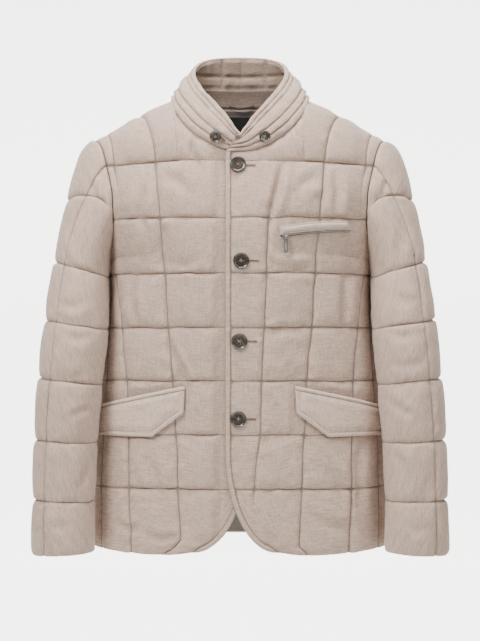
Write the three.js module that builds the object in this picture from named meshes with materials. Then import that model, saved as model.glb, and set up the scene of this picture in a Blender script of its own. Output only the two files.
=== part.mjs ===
// A men's quilted jacket, filled out as if worn: two fronts, a back, two-piece sleeves, a stand
// collar, flap pockets, a zipped chest pocket and buttons. Millimetres, +Z up, front towards -Y.
// The origin is the point between the shoulders, at the base of the neck, where a wearer holds it.
import * as THREE from "three";

// Cloth
const WALL = 3; // shell, padding and lining pressed together along a stitch line
const PUFF = 6; // how far the padding lifts the shell between stitch lines
const RISE = 11; // distance over which the shell climbs out of a stitch line
const SEAM_INSET = 0.25; // each panel stops this far short of its seam
const CLEAR = 0.3; // gap between a piece and what it lies on

// Body, by quilt row: 0 is the hem, 1 to 7 are the stitched rows, 8 is the shoulder seam.
// cy and cz place the row at the centre line, x, y and z at the side seam or armhole, and
// hx and hy are the handle by which the row arrives there.
const YOKE = 7;
const ARMPIT = 5.35;
const FRONT_ROWS = [
  { row: 0, cy: -114, cz: -701, x: 234, y: 8, z: -694, hx: 0, hy: -72 },
  { row: 1, cy: -113, cz: -598, x: 233, y: 8, z: -600, hx: 0, hy: -72 },
  { row: 2, cy: -112, cz: -515, x: 229, y: 8, z: -516, hx: 0, hy: -70 },
  { row: 3, cy: -112, cz: -432, x: 221, y: 8, z: -433, hx: 0, hy: -70 },
  { row: 4, cy: -114, cz: -350, x: 212, y: 8, z: -351, hx: 0, hy: -70 },
  { row: 5, cy: -116, cz: -266, x: 205, y: 8, z: -268, hx: 0, hy: -70 },
  { row: ARMPIT, cy: -116, cz: -236, x: 204, y: 6, z: -241, hx: -1, hy: -66, kink: true },
  { row: 5.5, cy: -116, cz: -223, x: 203, y: -18, z: -232, hx: -8, hy: -50 },
  { row: 5.75, cy: -116, cz: -202, x: 200, y: -47, z: -210, hx: -24, hy: -36 },
  { row: 6, cy: -115, cz: -181, x: 198, y: -63, z: -182, hx: -40, hy: -30 },
  { row: 6.5, cy: -109, cz: -138, x: 199, y: -66, z: -140, hx: -46, hy: -26 },
  { row: YOKE, cy: -99, cz: -93, x: 209, y: -45, z: -97, hx: -50, hy: -28 },
];
const BACK_ROWS = [
  { row: 0, cy: 104, cz: -687, x: 234, y: 8, z: -694, hx: 0, hy: 64 },
  { row: 1, cy: 102, cz: -596, x: 233, y: 8, z: -600, hx: 0, hy: 62 },
  { row: 2, cy: 98, cz: -514, x: 229, y: 8, z: -516, hx: 0, hy: 60 },
  { row: 3, cy: 94, cz: -432, x: 221, y: 8, z: -433, hx: 0, hy: 58 },
  { row: 4, cy: 95, cz: -350, x: 212, y: 8, z: -351, hx: 0, hy: 58 },
  { row: 5, cy: 100, cz: -266, x: 205, y: 8, z: -268, hx: 0, hy: 60 },
  { row: ARMPIT, cy: 102, cz: -236, x: 204, y: 6, z: -241, hx: -1, hy: 58, kink: true },
  { row: 5.5, cy: 102, cz: -223, x: 204, y: 26, z: -231, hx: -6, hy: 42 },
  { row: 5.75, cy: 103, cz: -202, x: 203, y: 50, z: -208, hx: -20, hy: 28 },
  { row: 6, cy: 103, cz: -181, x: 203, y: 62, z: -182, hx: -36, hy: 22 },
  { row: 6.5, cy: 101, cz: -138, x: 205, y: 68, z: -140, hx: -44, hy: 18 },
  { row: YOKE, cy: 92, cz: -93, x: 212, y: 56, z: -97, hx: -50, hy: 20 },
];
const FLATNESS = 0.6; // share of a row's half width that runs straight across the body
const SHOULDER = { x: 236, y: 12, z: -56 }; // outer end of the shoulder seam
const NECK_POINT = { x: 107, y: 8, z: 11 }; // its inner end, beside the neck
const YOKE_SPREAD = 1.6; // how late the armhole swings out to the shoulder
const YOKE_DROP = 0.5; // how much flatter the yoke runs beside the armhole

// Vertical stitch lines of a front, as distances from the centre line.
const FRONT_LINES = [
  { row: 0, first: 84, second: 91, third: 168 },
  { row: 0.5, first: 32, second: 93, third: 170 },
  { row: 1, first: 22, second: 95, third: 172 },
  { row: 2, first: 31, second: 98, third: 173 },
  { row: 3, first: 34, second: 103, third: 176 },
  { row: 4, first: 37, second: 110, third: 184 },
  { row: 5, first: 41, second: 116, third: 192 },
  { row: 6, first: 45, second: 122, third: 196 },
  { row: YOKE, first: 62, second: 130, third: 201 },
];
const BACK_LINES = [
  { row: 0, first: 40, second: 120 },
  { row: YOKE, first: 40, second: 119 },
];
const OVERLAP = { left: 22, right: 12 }; // each front edge's reach past the centre line
const LAP = { left: 3, right: -3.2 }; // the left front lies outside, the right one inside
const LAP_FROM = 26;
const LAP_TO = 52;
// The cutaway corner of a front is a quarter ellipse that ends on the hem.
const CORNER = { left: { x: 60, rx: 82 }, right: { x: 74, rx: 86 }, z: -540, rz: 156, end: 1.47 };
const CORNER_ROW = 1.7;
const SQUARE_END = 0.15; // height, in rows, over which the bound edge squares up to the hem

// Neckline as distance from the centre line and share of the yoke, from the front edge to the
// neck point, and from the neck point to the centre back.
const FRONT_NECK = [
  { part: 0, x: -22, yoke: 0.055 },
  { part: 0.16, x: 14, yoke: 0.064 },
  { part: 0.28, x: 38, yoke: 0.11 },
  { part: 0.41, x: 63, yoke: 0.194 },
  { part: 0.55, x: 84, yoke: 0.327 },
  { part: 0.78, x: 104, yoke: 0.622 },
  { part: 1, x: 107, yoke: 1 },
];
const BACK_NECK = [
  { part: 0, x: 0, yoke: 0.421 },
  { part: 0.33, x: 35, yoke: 0.493 },
  { part: 0.66, x: 70, yoke: 0.605 },
  { part: 0.88, x: 95, yoke: 0.756 },
  { part: 1, x: 107, yoke: 1 },
];

// Sleeve rings below the armhole: centre, half width across, half depth, and how much higher the
// outer side is. Ring 1 is stitched across the sleeve head and 7 is the cuff.
const SLEEVE_RINGS = [
  { ring: 2, cx: 248, cy: -22, cz: -260, across: 41, deep: 62, rise: 12 },
  { ring: 3, cx: 255, cy: -46, cz: -346, across: 47, deep: 59, rise: 7 },
  { ring: 4, cx: 263, cy: -58, cz: -434, across: 47, deep: 56, rise: 5 },
  { ring: 5, cx: 269, cy: -66, cz: -526, across: 46, deep: 52, rise: 2 },
  { ring: 6, cx: 272, cy: -72, cz: -617, across: 45, deep: 48, rise: 1 },
  { ring: 7, cx: 272, cy: -76, cz: -697, across: 46, deep: 46, rise: -2 },
];
const CUFF = 7;
const HEAD = 2; // ring where the sleeve head ends
const SLEEVE_GAP = 1.1;

// Collar stations from the front end to the centre back: where each starts on the neckline
// (front part, then 2 minus back part), and its top edge.
const COLLAR_STATIONS = [
  { at: 0, neck: 0, x: -1, y: -105, z: -57 },
  { at: 0.08, neck: 0.16, x: 2, y: -103, z: -52 },
  { at: 0.17, neck: 0.28, x: 10, y: -98, z: -40 },
  { at: 0.28, neck: 0.41, x: 22, y: -88, z: -22 },
  { at: 0.39, neck: 0.55, x: 39, y: -70, z: -1 },
  { at: 0.51, neck: 0.78, x: 60, y: -38, z: 26 },
  { at: 0.63, neck: 1, x: 74, y: 10, z: 55 },
  { at: 0.75, neck: 1.16, x: 68, y: 44, z: 76 },
  { at: 0.86, neck: 1.45, x: 42, y: 63, z: 86 },
  { at: 1, neck: 2, x: 0, y: 72, z: 89 },
];
const COLLAR_LINES = [0.24, 0.47, 0.79, 0.9]; // stitched rows, as shares of the collar's height
const COLLAR_WALL = 4;
const COLLAR_PUFF = 5;
const COLLAR_BELLY = 7;
const COLLAR_OVERLAP = 12;
const COLLAR_BAND = { from: 0.53, top: 0.37, wall: 1.3 }; // inside the foot of the collar
const COLLAR_FOOT_LIFT = 2.1; // how far its foot stands off the neckline

// Pockets
const FLAP = { x: 86, width: 160, top: -447, fall: 0.21, short: 34, cut: 48, foot: -518 };
const FLAP_WALL = 3;
const FLAP_PUFF = 2.4;
const FLAP_LIFT = { front: 4.6, side: 2.6 }; // how far a flap hangs off the front, and at its back end
const JET = { height: 6.6, wall: 1.6, apart: 0.5 }; // the piped band above a flap
const WELT = { x: 60, width: 112, top: -196, height: 12, climb: 10, arch: 2.4, lift: 3.8, wall: 3.4 };
const ZIP_TAPE = { drop: 3.2, lift: 3.6, wall: 0.5 };
const BINDING_WIDTH = 7.5;
const BINDING_WALL = 1;
const LABEL = { from: -24, to: 25, top: -5, foot: -38, wall: 0.8, off: 3.2 };
const LOOP = { from: -17, to: 22, z: 9, sag: 4, height: 4, wall: 1.2, off: 4.4, bow: 2 };

// Hardware
const BUTTON = { radius: 12.5, height: 4, rim: 1.6, dish: 1.2 };
const COLLAR_BUTTON = { radius: 9, height: 3.4, rim: 1.3, dish: 1 };
const BUTTONS = [
  { x: -3.3, z: -101, seat: 4.5 },
  { x: 1.7, z: -248, seat: 5.1 },
  { x: -1.1, z: -371, seat: 4.9 },
  { x: -2.6, z: -490, seat: 5.1 },
];
const BUTTON_FACETS = 18;
const COLLAR_BUTTON_AT = { along: 0.8, up: 0.3, seat: 0.8 };
const PULL = { x: 70, y: -120, z: -211.8, width: 6.5, length: 24, wall: 1.4, bar: 1.5, eye: 3.2 };
const PULL_HOLES = { width: 2.8, slotTop: 9, slotLength: 11 };
const BRIDGE = { radius: 2.35, wire: 1.2, reach: 1.6, facets: 8 };
const SLIDER = { width: 8, above: 3.2, below: 4.8, wall: 2 };

const COLOURS = { cloth: 0xc4b5ad, dark: 0x6b5f58, label: 0x0a0a0a, horn: 0x1c1b17, steel: 0xa9a9a6 };

// Small helpers
const clamp = (v, low, high) => Math.min(high, Math.max(low, v));
const lerp = (a, b, t) => a + (b - a) * t;
const smooth = (from, to, v) => {
  const t = clamp((v - from) / (to - from), 0, 1);
  return t * t * (3 - 2 * t);
};
const vec = (x, y, z) => new THREE.Vector3(x, y, z);

// A smooth curve through one column of a table, read at value v of its first column.
function through(table, index, column, v) {
  const last = table.length - 1;
  let i = 0;
  while (i < last - 1 && v > table[i + 1][index]) i += 1;
  const slope = (k) => {
    const a = table[k === 0 || (table[k].kink && k === i) ? k : k - 1];
    const b = table[k === last || (table[k].kink && k > i) ? k : k + 1];
    return (b[column] - a[column]) / (b[index] - a[index]);
  };
  const span = table[i + 1][index] - table[i][index];
  const t = clamp((v - table[i][index]) / span, 0, 1);
  const t2 = t * t;
  const t3 = t2 * t;
  return (
    (2 * t3 - 3 * t2 + 1) * table[i][column] +
    (t3 - 2 * t2 + t) * slope(i) * span +
    (3 * t2 - 2 * t3) * table[i + 1][column] +
    (t3 - t2) * slope(i + 1) * span
  );
}

function bezier(p0, p1, p2, p3, t) {
  const s = 1 - t;
  const mix = (a, b, c, d) => s * s * s * a + 3 * s * s * t * b + 3 * s * t * t * c + t * t * t * d;
  return vec(mix(p0.x, p1.x, p2.x, p3.x), mix(p0.y, p1.y, p2.y, p3.y), mix(p0.z, p1.z, p2.z, p3.z));
}

// The body's plain surface. across runs from 0 at the centre line to 1 at the side seam or the
// armhole, negative past the centre line, and row from the hem to the shoulder seam.
function bodyPoint(rows, across, row) {
  const low = Math.min(row, YOKE);
  const read = (column) => through(rows, "row", column, low);
  const end = vec(read("x"), read("y"), read("z"));
  const centre = vec(0, read("cy"), read("cz"));
  const flat = vec(end.x * FLATNESS, centre.y, centre.z);
  const handle = vec(end.x + read("hx"), end.y + read("hy"), end.z);
  const p = bezier(centre, flat, handle, end, Math.min(Math.abs(across), 1));
  if (row > YOKE) {
    const share = row - YOKE;
    const fall = (SHOULDER.z - NECK_POINT.z) / (SHOULDER.x - NECK_POINT.x);
    const lean = (SHOULDER.y - NECK_POINT.y) / (SHOULDER.x - NECK_POINT.x);
    const sharpness = 1 + YOKE_DROP * Math.pow(p.x / end.x, 4);
    const x = p.x * lerp(1, SHOULDER.x / end.x, Math.pow(share, YOKE_SPREAD));
    const out = x - SHOULDER.x;
    const angle = (share * Math.PI) / 2;
    p.set(
      x,
      lerp(SHOULDER.y + lean * out, p.y, Math.cos(angle)),
      lerp(p.z, SHOULDER.z + fall * out, Math.pow(Math.sin(angle), sharpness)),
    );
  }
  if (across < 0) p.x = -p.x;
  return p;
}

// The across value at which a row is x from the centre line.
function acrossAt(rows, x, row) {
  let low = 0;
  let high = 1;
  for (let i = 0; i < 24; i += 1) {
    const middle = (low + high) / 2;
    if (bodyPoint(rows, middle, row).x < Math.abs(x)) low = middle;
    else high = middle;
  }
  return Math.sign(x) * low || low;
}

// The row at which a column of the body is at height z.
function rowAt(rows, across, z) {
  let low = 0;
  let high = YOKE;
  for (let i = 0; i < 24; i += 1) {
    const middle = (low + high) / 2;
    if (bodyPoint(rows, across, middle).z < z) low = middle;
    else high = middle;
  }
  return low;
}

const neckPlace = (table, part) => ({
  x: through(table, "part", "x", part),
  row: YOKE + through(table, "part", "yoke", part),
});

// Columns of a front, from its edge to the side: places them on the body's surface.
const FRONT_COLUMNS = ["edge", "bound", "first", "neck", "second", "third", "fourth", "side"];
const CORNER_PULL = [1, 1, 0.55, 0.25, 0, 0, 0, 0]; // how far each column follows the cut corner
const NECK_COLUMN = 3; // the column that ends at the neck point
const NECK_PARTS = [0, 0.034, 0.55, 1]; // where the first columns meet the neckline
const SEAM_TOPS = [0.57, 0.87, 0.94, 1]; // where the others meet the shoulder seam
const THIRD_LIMIT = 0.92;

// The edge of a front, or the line a binding's width inside it, at a row.
function cornerAt(side, row, inset) {
  if (row >= CORNER_ROW) return { x: inset - OVERLAP[side], row };
  const { x, rx } = CORNER[side];
  const straight = through(FRONT_ROWS, "row", "cz", Math.max(row, 1));
  const first = Math.asin(clamp((CORNER.z - straight) / CORNER.rz, 0, 1));
  const angle = row >= 1 ? first : lerp(CORNER.end, first, row);
  const inwards = vec(Math.cos(angle) / rx, 0, Math.sin(angle) / CORNER.rz).normalize();
  inwards.lerp(vec(1, 0, 0), 1 - smooth(0, SQUARE_END, row)).setLength(inset);
  const z = CORNER.z - CORNER.rz * Math.sin(angle) + inwards.z;
  const edge = Math.max(x - rx * Math.cos(angle), -OVERLAP[side]);
  return { x: edge + inwards.x, row: row >= 1 ? row : rowAt(FRONT_ROWS, 0.05, z) };
}

function frontColumn(side, column, row) {
  const low = Math.min(row, YOKE);
  const line = (name) => through(FRONT_LINES, "row", name, low);
  const edge = cornerAt(side, low, 0);
  const bound = cornerAt(side, low, BINDING_WIDTH);
  const middle = (line("first") + line("second")) / 2;
  const xs = [edge.x, bound.x, line("first"), middle, line("second"), line("third")];
  if (row < 1) {
    xs[2] = lerp(bound.x + 18, xs[2], row);
    xs[3] = lerp(xs[2] + 14, xs[3], row);
    xs[4] = Math.max(xs[4], lerp(xs[3] + 14, xs[4], row));
  }
  const pulled = lerp(low, column === 0 ? edge.row : bound.row, CORNER_PULL[column]);
  let across;
  if (column < 5) across = acrossAt(FRONT_ROWS, xs[column], pulled);
  else {
    const third = Math.min(acrossAt(FRONT_ROWS, xs[5], pulled), THIRD_LIMIT);
    across = [third, (third + 1) / 2, 1][column - 5];
  }
  return { across, row: pulled, x: xs[Math.min(column, 5)] };
}

// A point of a front: column may lie between two columns, and row may rise past the yoke.
function frontPlace(side, column, row) {
  const i = Math.min(Math.floor(column), FRONT_COLUMNS.length - 2);
  const f = column - i;
  if (row <= YOKE) {
    const a = frontColumn(side, i, row);
    const b = frontColumn(side, i + 1, row);
    return { across: lerp(a.across, b.across, f), row: lerp(a.row, b.row, f) };
  }
  const up = row - YOKE;
  if (i < NECK_COLUMN) {
    const part = lerp(NECK_PARTS[i], NECK_PARTS[i + 1], f);
    const top = neckPlace(FRONT_NECK, part);
    if (side === "right") top.x += (OVERLAP.left - OVERLAP.right) * (1 - smooth(0, 0.16, part));
    const base = lerp(frontColumn(side, i, YOKE).x, frontColumn(side, i + 1, YOKE).x, f);
    const height = YOKE + (top.row - YOKE) * up;
    return { across: acrossAt(FRONT_ROWS, lerp(base, top.x, up), height), row: height };
  }
  const tops = [acrossAt(FRONT_ROWS, NECK_POINT.x, YOKE + 1), ...SEAM_TOPS];
  const top = lerp(tops[i - NECK_COLUMN], tops[i - NECK_COLUMN + 1], f);
  const base = lerp(frontColumn(side, i, YOKE).across, frontColumn(side, i + 1, YOKE).across, f);
  return { across: lerp(base, top, up), row };
}

// Columns of the back, mirrored about the centre: negative columns are on the right.
const BACK_TOPS = [0, 0.5, 1]; // shares of the back neckline
function backPlace(column, row) {
  const sign = Math.sign(column) || 1;
  const c = Math.abs(column);
  const i = Math.min(Math.floor(c), 4);
  const f = c - i;
  const low = Math.min(row, YOKE);
  const first = acrossAt(BACK_ROWS, through(BACK_LINES, "row", "first", low), low);
  const second = acrossAt(BACK_ROWS, through(BACK_LINES, "row", "second", low), low);
  const acrosses = [0, first, (first + second) / 2 + 0.04, second, 0.8, 1];
  const base = lerp(acrosses[i], acrosses[i + 1], f);
  if (row <= YOKE) return { across: sign * base, row };
  const up = row - YOKE;
  if (i < 2) {
    const part = lerp(BACK_TOPS[i], BACK_TOPS[i + 1], f);
    const top = neckPlace(BACK_NECK, part);
    const height = YOKE + (top.row - YOKE) * up;
    const x = lerp(bodyPoint(BACK_ROWS, base, YOKE).x, top.x, up);
    return { across: sign * acrossAt(BACK_ROWS, x, height), row: height };
  }
  const neck = acrossAt(BACK_ROWS, NECK_POINT.x, YOKE + 1);
  const tops = [neck, 0.6, 0.85, 1];
  return { across: sign * lerp(base, lerp(tops[i - 2], tops[i - 1], f), up), row };
}

// Surfaces as functions of two grid values, with an outward normal by small steps.
function withNormal(surface, step = 0.004) {
  return (u, v) => {
    const p = surface(u, v);
    const du = surface(u + step, v).sub(surface(u - step, v));
    const dv = surface(u, v + step).sub(surface(u, v - step));
    return { p, n: du.cross(dv).normalize() };
  };
}

const lapLift = (side, x) => LAP[side] * (1 - smooth(LAP_FROM, LAP_TO, x));

function frontSurface(side) {
  const mirror = side === "left" ? 1 : -1;
  const last = FRONT_COLUMNS.length - 1;
  return (column, row) => {
    const place = frontPlace(side, clamp(column, 0, last), clamp(row, 0, YOKE + 1));
    const p = bodyPoint(FRONT_ROWS, place.across, place.row);
    p.y -= lapLift(side, p.x);
    p.x *= mirror;
    return p;
  };
}

const backSurface = (column, row) => {
  const place = backPlace(clamp(column, -5, 5), clamp(row, 0, YOKE + 1));
  return bodyPoint(BACK_ROWS, place.across, place.row);
};

// Mirrored surfaces turn their grid round, so the normal is turned to point away from the axis.
function outward(point, axis) {
  return (u, v) => {
    const { p, n } = point(u, v);
    if (n.dot(p.clone().sub(axis(p))) < 0) n.negate();
    return { p, n };
  };
}
const bodyAxis = (p) => vec(0, 0, Math.min(p.z, -120) - (p.z > -120 ? 20 : 0));

// Grid values between stitch lines, close to each line and at the middle of each cell.
function cellValues(lines, shares) {
  const values = [];
  for (let i = 0; i < lines.length - 1; i += 1) {
    for (const share of shares) values.push(lerp(lines[i], lines[i + 1], share));
  }
  values.push(lines[lines.length - 1]);
  return values;
}
const ROW_SHARES = [0, 0.13, 0.5, 0.87];
const CORNER_ROWS = [0.3, 0.7]; // extra rows round the cut corner
const BODY_ROW_VALUES = [
  ...cellValues([0, 1, 2, 3, 4, 5, 6, YOKE, YOKE + 1], ROW_SHARES), ...CORNER_ROWS, ARMPIT,
];
BODY_ROW_VALUES.sort((a, b) => a - b);
const ARMHOLE_ROWS = BODY_ROW_VALUES.filter((row) => row >= ARMPIT);
const BODY_INNER_ROWS = [0, 0.3, 0.7, 1, 2, 3, 4, 5, ...ARMHOLE_ROWS];

// The armhole as the panels cut it, divided by length: share 0 is the shoulder and 1 the armpit.
function armholeLoop(rows) {
  const tops = [...ARMHOLE_ROWS].reverse();
  const points = tops.map((row) => bodyPoint(rows, 1, row));
  const lengths = runningLengths(points);
  const whole = lengths[lengths.length - 1];
  const at = (share) => {
    const target = clamp(share, 0, 1) * whole;
    let i = 1;
    while (i < points.length - 1 && lengths[i] < target) i += 1;
    const f = (target - lengths[i - 1]) / (lengths[i] - lengths[i - 1]);
    return { row: lerp(tops[i - 1], tops[i], f), p: points[i - 1].clone().lerp(points[i], f) };
  };
  return { at, shares: lengths.map((length) => length / whole) };
}
const LOOPS = { front: armholeLoop(FRONT_ROWS), back: armholeLoop(BACK_ROWS) };
const FRONT_ANGLES = LOOPS.front.shares.map((share) => share * 180);
const BACK_ANGLES = LOOPS.back.shares.map((share) => 360 - share * 180).reverse();

// Where a sleeve starts, with the body's normal and the way out of the panel there.
function armholeStart(degrees) {
  const around = ((degrees % 360) + 360) % 360;
  const front = around <= 180;
  const share = front ? around / 180 : (360 - around) / 180;
  const loop = front ? LOOPS.front : LOOPS.back;
  const rows = front ? FRONT_ROWS : BACK_ROWS;
  const { p, row } = loop.at(share);
  const ahead = loop.at(Math.min(share + 0.02, 1)).p;
  const behind = loop.at(Math.max(share - 0.02, 0)).p;
  const along = ahead.sub(behind).normalize();
  const inside = bodyPoint(rows, 0.97, row).sub(p).normalize();
  const normal = along.clone().cross(inside).normalize();
  if (normal.x < 0) normal.negate();
  const out = inside.sub(along.clone().multiplyScalar(inside.dot(along))).normalize().negate();
  return { p: p.add(out.clone().add(normal).multiplyScalar(SLEEVE_GAP * Math.SQRT1_2)), out, normal };
}

function sleeveRing(degrees, ring) {
  const read = (column) => through(SLEEVE_RINGS, "ring", column, ring);
  const a = (degrees * Math.PI) / 180;
  const round = (v) => Math.sign(v) * Math.pow(Math.abs(v), 0.92);
  const c = round(Math.cos(a));
  const s = round(Math.sin(a));
  return vec(read("cx") + read("across") * c, read("cy") - read("deep") * s, read("cz") + read("rise") * c);
}

// How far down the sleeve head the first stitched ring lies, round the sleeve.
const headLine = (degrees) =>
  0.06 + 0.52 * clamp((Math.cos((degrees * Math.PI) / 180) + 0.4) / 1.4, 0, 1);

function sleevePoint(degrees, ring) {
  if (ring >= HEAD) return sleeveRing(degrees, ring);
  const line = headLine(degrees);
  const s = ring < 1 ? line * Math.max(ring, 0) : lerp(line, 1, ring - 1);
  const a = (degrees * Math.PI) / 180;
  const start = armholeStart(degrees).p;
  const end = sleeveRing(degrees, HEAD);
  const length = start.distanceTo(end);
  const leave = vec(0.62 + 0.18 * Math.cos(a), -0.35 * Math.sin(a), -0.55 + 0.1 * Math.cos(a));
  const under = smooth(0.3, 0.95, -Math.cos(a));
  leave.lerp(vec(0.25, 0, -0.97), under).normalize().multiplyScalar(length * 0.45);
  const arrive = sleeveRing(degrees, HEAD + 0.2).sub(end).normalize().multiplyScalar(length * 1.05);
  const s2 = s * s;
  const s3 = s2 * s;
  return start
    .clone()
    .multiplyScalar(2 * s3 - 3 * s2 + 1)
    .addScaledVector(leave, s3 - 2 * s2 + s)
    .addScaledVector(end, 3 * s2 - 2 * s3)
    .addScaledVector(arrive, s3 - s2);
}

const AXIS_DROP = 40; // the axis is met this far below a point, so that the sleeve head faces up
const sleeveAxis = (p, mirror) => {
  const ring = clamp(2 + (-260 - p.z) / 87, HEAD, CUFF);
  const read = (column) => through(SLEEVE_RINGS, "ring", column, ring);
  return vec(mirror * read("cx"), read("cy"), p.z - AXIS_DROP);
};

function sleeveSurface(side) {
  const mirror = side === "left" ? 1 : -1;
  return (degrees, ring) => {
    const p = sleevePoint(degrees, clamp(ring, 0, CUFF));
    p.x *= mirror;
    return p;
  };
}

// The collar: along runs from the right front end, -1, through the centre back, 0, to the left
// front end, 1, and up from the neckline, 0, to the top edge, 1. The left end lies outside.
function neckPoint(neck, side) {
  if (neck > 1) {
    const place = neckPlace(BACK_NECK, 2 - neck);
    return bodyPoint(BACK_ROWS, acrossAt(BACK_ROWS, place.x, place.row), place.row);
  }
  const place = neckPlace(FRONT_NECK, neck);
  if (side === "right") place.x += (OVERLAP.left - OVERLAP.right) * (1 - smooth(0, 0.16, neck));
  const p = bodyPoint(FRONT_ROWS, acrossAt(FRONT_ROWS, place.x, place.row), place.row);
  p.y -= lapLift(side, p.x);
  return p;
}

function collarPoint(along, up) {
  const side = along >= 0 ? "left" : "right";
  const at = 1 - Math.min(Math.abs(along), 1);
  const read = (column) => through(COLLAR_STATIONS, "at", column, at);
  const base = neckPoint(clamp(read("neck"), 0, 2), side);
  const top = vec(read("x"), read("y"), read("z"));
  const end = 1 - smooth(0, 0.2, at);
  top.y -= end * (side === "left" ? LAP.left : LAP.right);
  if (side === "right") top.x -= (COLLAR_OVERLAP - 4) * (1 - smooth(0, 0.12, at));
  const away = vec(base.x + top.x, base.y + top.y - 10, 0).normalize();
  const p = base.clone().lerp(top, up);
  p.addScaledVector(away, COLLAR_BELLY * Math.sin(Math.PI * Math.pow(up, 0.8)) * smooth(0, 0.25, at));
  p.z += COLLAR_FOOT_LIFT * (1 - up);
  if (side === "right") p.x = -p.x;
  return p;
}

// How much of the padding's lift is left near stitch lines. lines is a list of grid values with
// their depth, and lengths holds the running length along one grid line.
function lift(lengths, values, lines, at) {
  let share = 1;
  for (const line of lines) {
    const depth = typeof line.depth === "function" ? line.depth(at.other) : line.depth;
    const from = lengthAt(lengths, values, line.at);
    const distance = Math.abs(lengths[at.index] - from);
    share *= 1 - depth * Math.exp(-Math.pow(distance / RISE, 1.4));
  }
  return share;
}
function lengthAt(lengths, values, value) {
  let i = 0;
  while (i < values.length - 2 && values[i + 1] < value) i += 1;
  return lerp(lengths[i], lengths[i + 1], (value - values[i]) / (values[i + 1] - values[i]));
}
function runningLengths(points) {
  const lengths = [0];
  for (let i = 1; i < points.length; i += 1) lengths.push(lengths[i - 1] + points[i].distanceTo(points[i - 1]));
  return lengths;
}

// A grid of outer points, lifted by the padding. us and vs are grid values.
function paddedGrid(point, us, vs, uLines, vLines, puff) {
  const base = us.map((u) => vs.map((v) => point(u, v)));
  const alongV = base.map((column) => runningLengths(column.map((q) => q.p)));
  const alongU = vs.map((_, j) => runningLengths(us.map((_, i) => base[i][j].p)));
  return base.map((column, i) =>
    column.map(({ p, n }, j) => {
      const room = typeof puff === "function" ? puff(us[i], vs[j], p) : puff;
      const share =
        lift(alongU[j], us, uLines, { index: i, other: vs[j] }) *
        lift(alongV[i], vs, vLines, { index: j, other: us[i] });
      return p.clone().addScaledVector(n, room * share);
    }),
  );
}

const offsetGrid = (point, us, vs, distance) =>
  us.map((u) => vs.map((v) => {
    const { p, n } = point(u, v);
    return p.clone().addScaledVector(n, distance);
  }));

// Moves the rim of a grid towards its inside, so that panels end just short of their seam.
function insetRim(grid, inset) {
  const lastU = grid.length - 1;
  const lastV = grid[0].length - 1;
  const pull = (p, inner) => p.clone().add(inner.clone().sub(p).setLength(inset));
  const out = grid.map((column) => column.map((p) => p.clone()));
  for (let i = 0; i <= lastU; i += 1) {
    out[i][0] = pull(out[i][0], grid[i][1]);
    out[i][lastV] = pull(out[i][lastV], grid[i][lastV - 1]);
  }
  for (let j = 0; j <= lastV; j += 1) {
    out[0][j].add(grid[1][j].clone().sub(grid[0][j]).setLength(inset));
    out[lastU][j].add(grid[lastU - 1][j].clone().sub(grid[lastU][j]).setLength(inset));
  }
  return out;
}

// A closed wall between an outer and an inner grid, which may differ in how finely they are cut.
function wallGeometry(outer, outerUs, outerVs, inner, innerUs, innerVs) {
  const positions = [];
  const triangles = [];
  const place = (grid) =>
    grid.map((column) => column.map((p) => positions.push(p.x, p.y, p.z) / 3 - 1));
  const outside = place(outer);
  const inside = place(inner);
  const skin = (ids, flip) => {
    for (let i = 0; i < ids.length - 1; i += 1) {
      for (let j = 0; j < ids[0].length - 1; j += 1) {
        const [a, b, c, d] = [ids[i][j], ids[i + 1][j], ids[i + 1][j + 1], ids[i][j + 1]];
        triangles.push(...(flip ? [a, c, b, a, d, c] : [a, b, c, a, c, d]));
      }
    }
  };
  skin(outside, false);
  skin(inside, true);
  const zip = (a, aValues, b, bValues) => {
    const share = (values, k) => (values[k] - values[0]) / (values[values.length - 1] - values[0]);
    let i = 0;
    let j = 0;
    while (i < a.length - 1 || j < b.length - 1) {
      const stepB = i === a.length - 1 || (j < b.length - 1 && share(bValues, j + 1) <= share(aValues, i + 1));
      if (stepB) {
        triangles.push(a[i], b[j], b[j + 1]);
        j += 1;
      } else {
        triangles.push(a[i], b[j], a[i + 1]);
        i += 1;
      }
    }
  };
  const side = (ids, i) => ids[i < 0 ? ids.length + i : i];
  const edge = (ids, j) => ids.map((column) => column[j < 0 ? column.length + j : j]);
  const back = (list) => [...list].reverse();
  zip(edge(outside, 0), outerUs, edge(inside, 0), innerUs);
  zip(side(outside, -1), outerVs, side(inside, -1), innerVs);
  zip(back(edge(outside, -1)), back(outerUs), back(edge(inside, -1)), back(innerUs));
  zip(back(side(outside, 0)), back(outerVs), back(side(inside, 0)), back(innerVs));
  return facingOut(positions, triangles);
}

function facingOut(positions, triangles) {
  const at = (k) => vec(positions[3 * k], positions[3 * k + 1], positions[3 * k + 2]);
  let volume = 0;
  for (let k = 0; k < triangles.length; k += 3) {
    volume += at(triangles[k]).dot(at(triangles[k + 1]).cross(at(triangles[k + 2])));
  }
  if (volume < 0) {
    for (let k = 0; k < triangles.length; k += 3) {
      [triangles[k + 1], triangles[k + 2]] = [triangles[k + 2], triangles[k + 1]];
    }
  }
  const geometry = new THREE.BufferGeometry();
  geometry.setAttribute("position", new THREE.Float32BufferAttribute(positions, 3));
  geometry.setIndex(triangles);
  geometry.computeVertexNormals();
  return geometry;
}

const model = new THREE.Group();
function addMesh(name, geometry, colour, roughness = 0.9, metalness = 0) {
  const material = new THREE.MeshStandardMaterial({ color: colour, roughness, metalness });
  const mesh = new THREE.Mesh(geometry, material);
  mesh.name = name;
  model.add(mesh);
  return mesh;
}

const BODY_ROW_LINES = [
  { at: 0, depth: 0.45 },
  ...[1, 2, 3, 4, 5, 6, YOKE].map((at) => ({ at, depth: 1 })),
  { at: YOKE + 1, depth: 1 },
];

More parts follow.
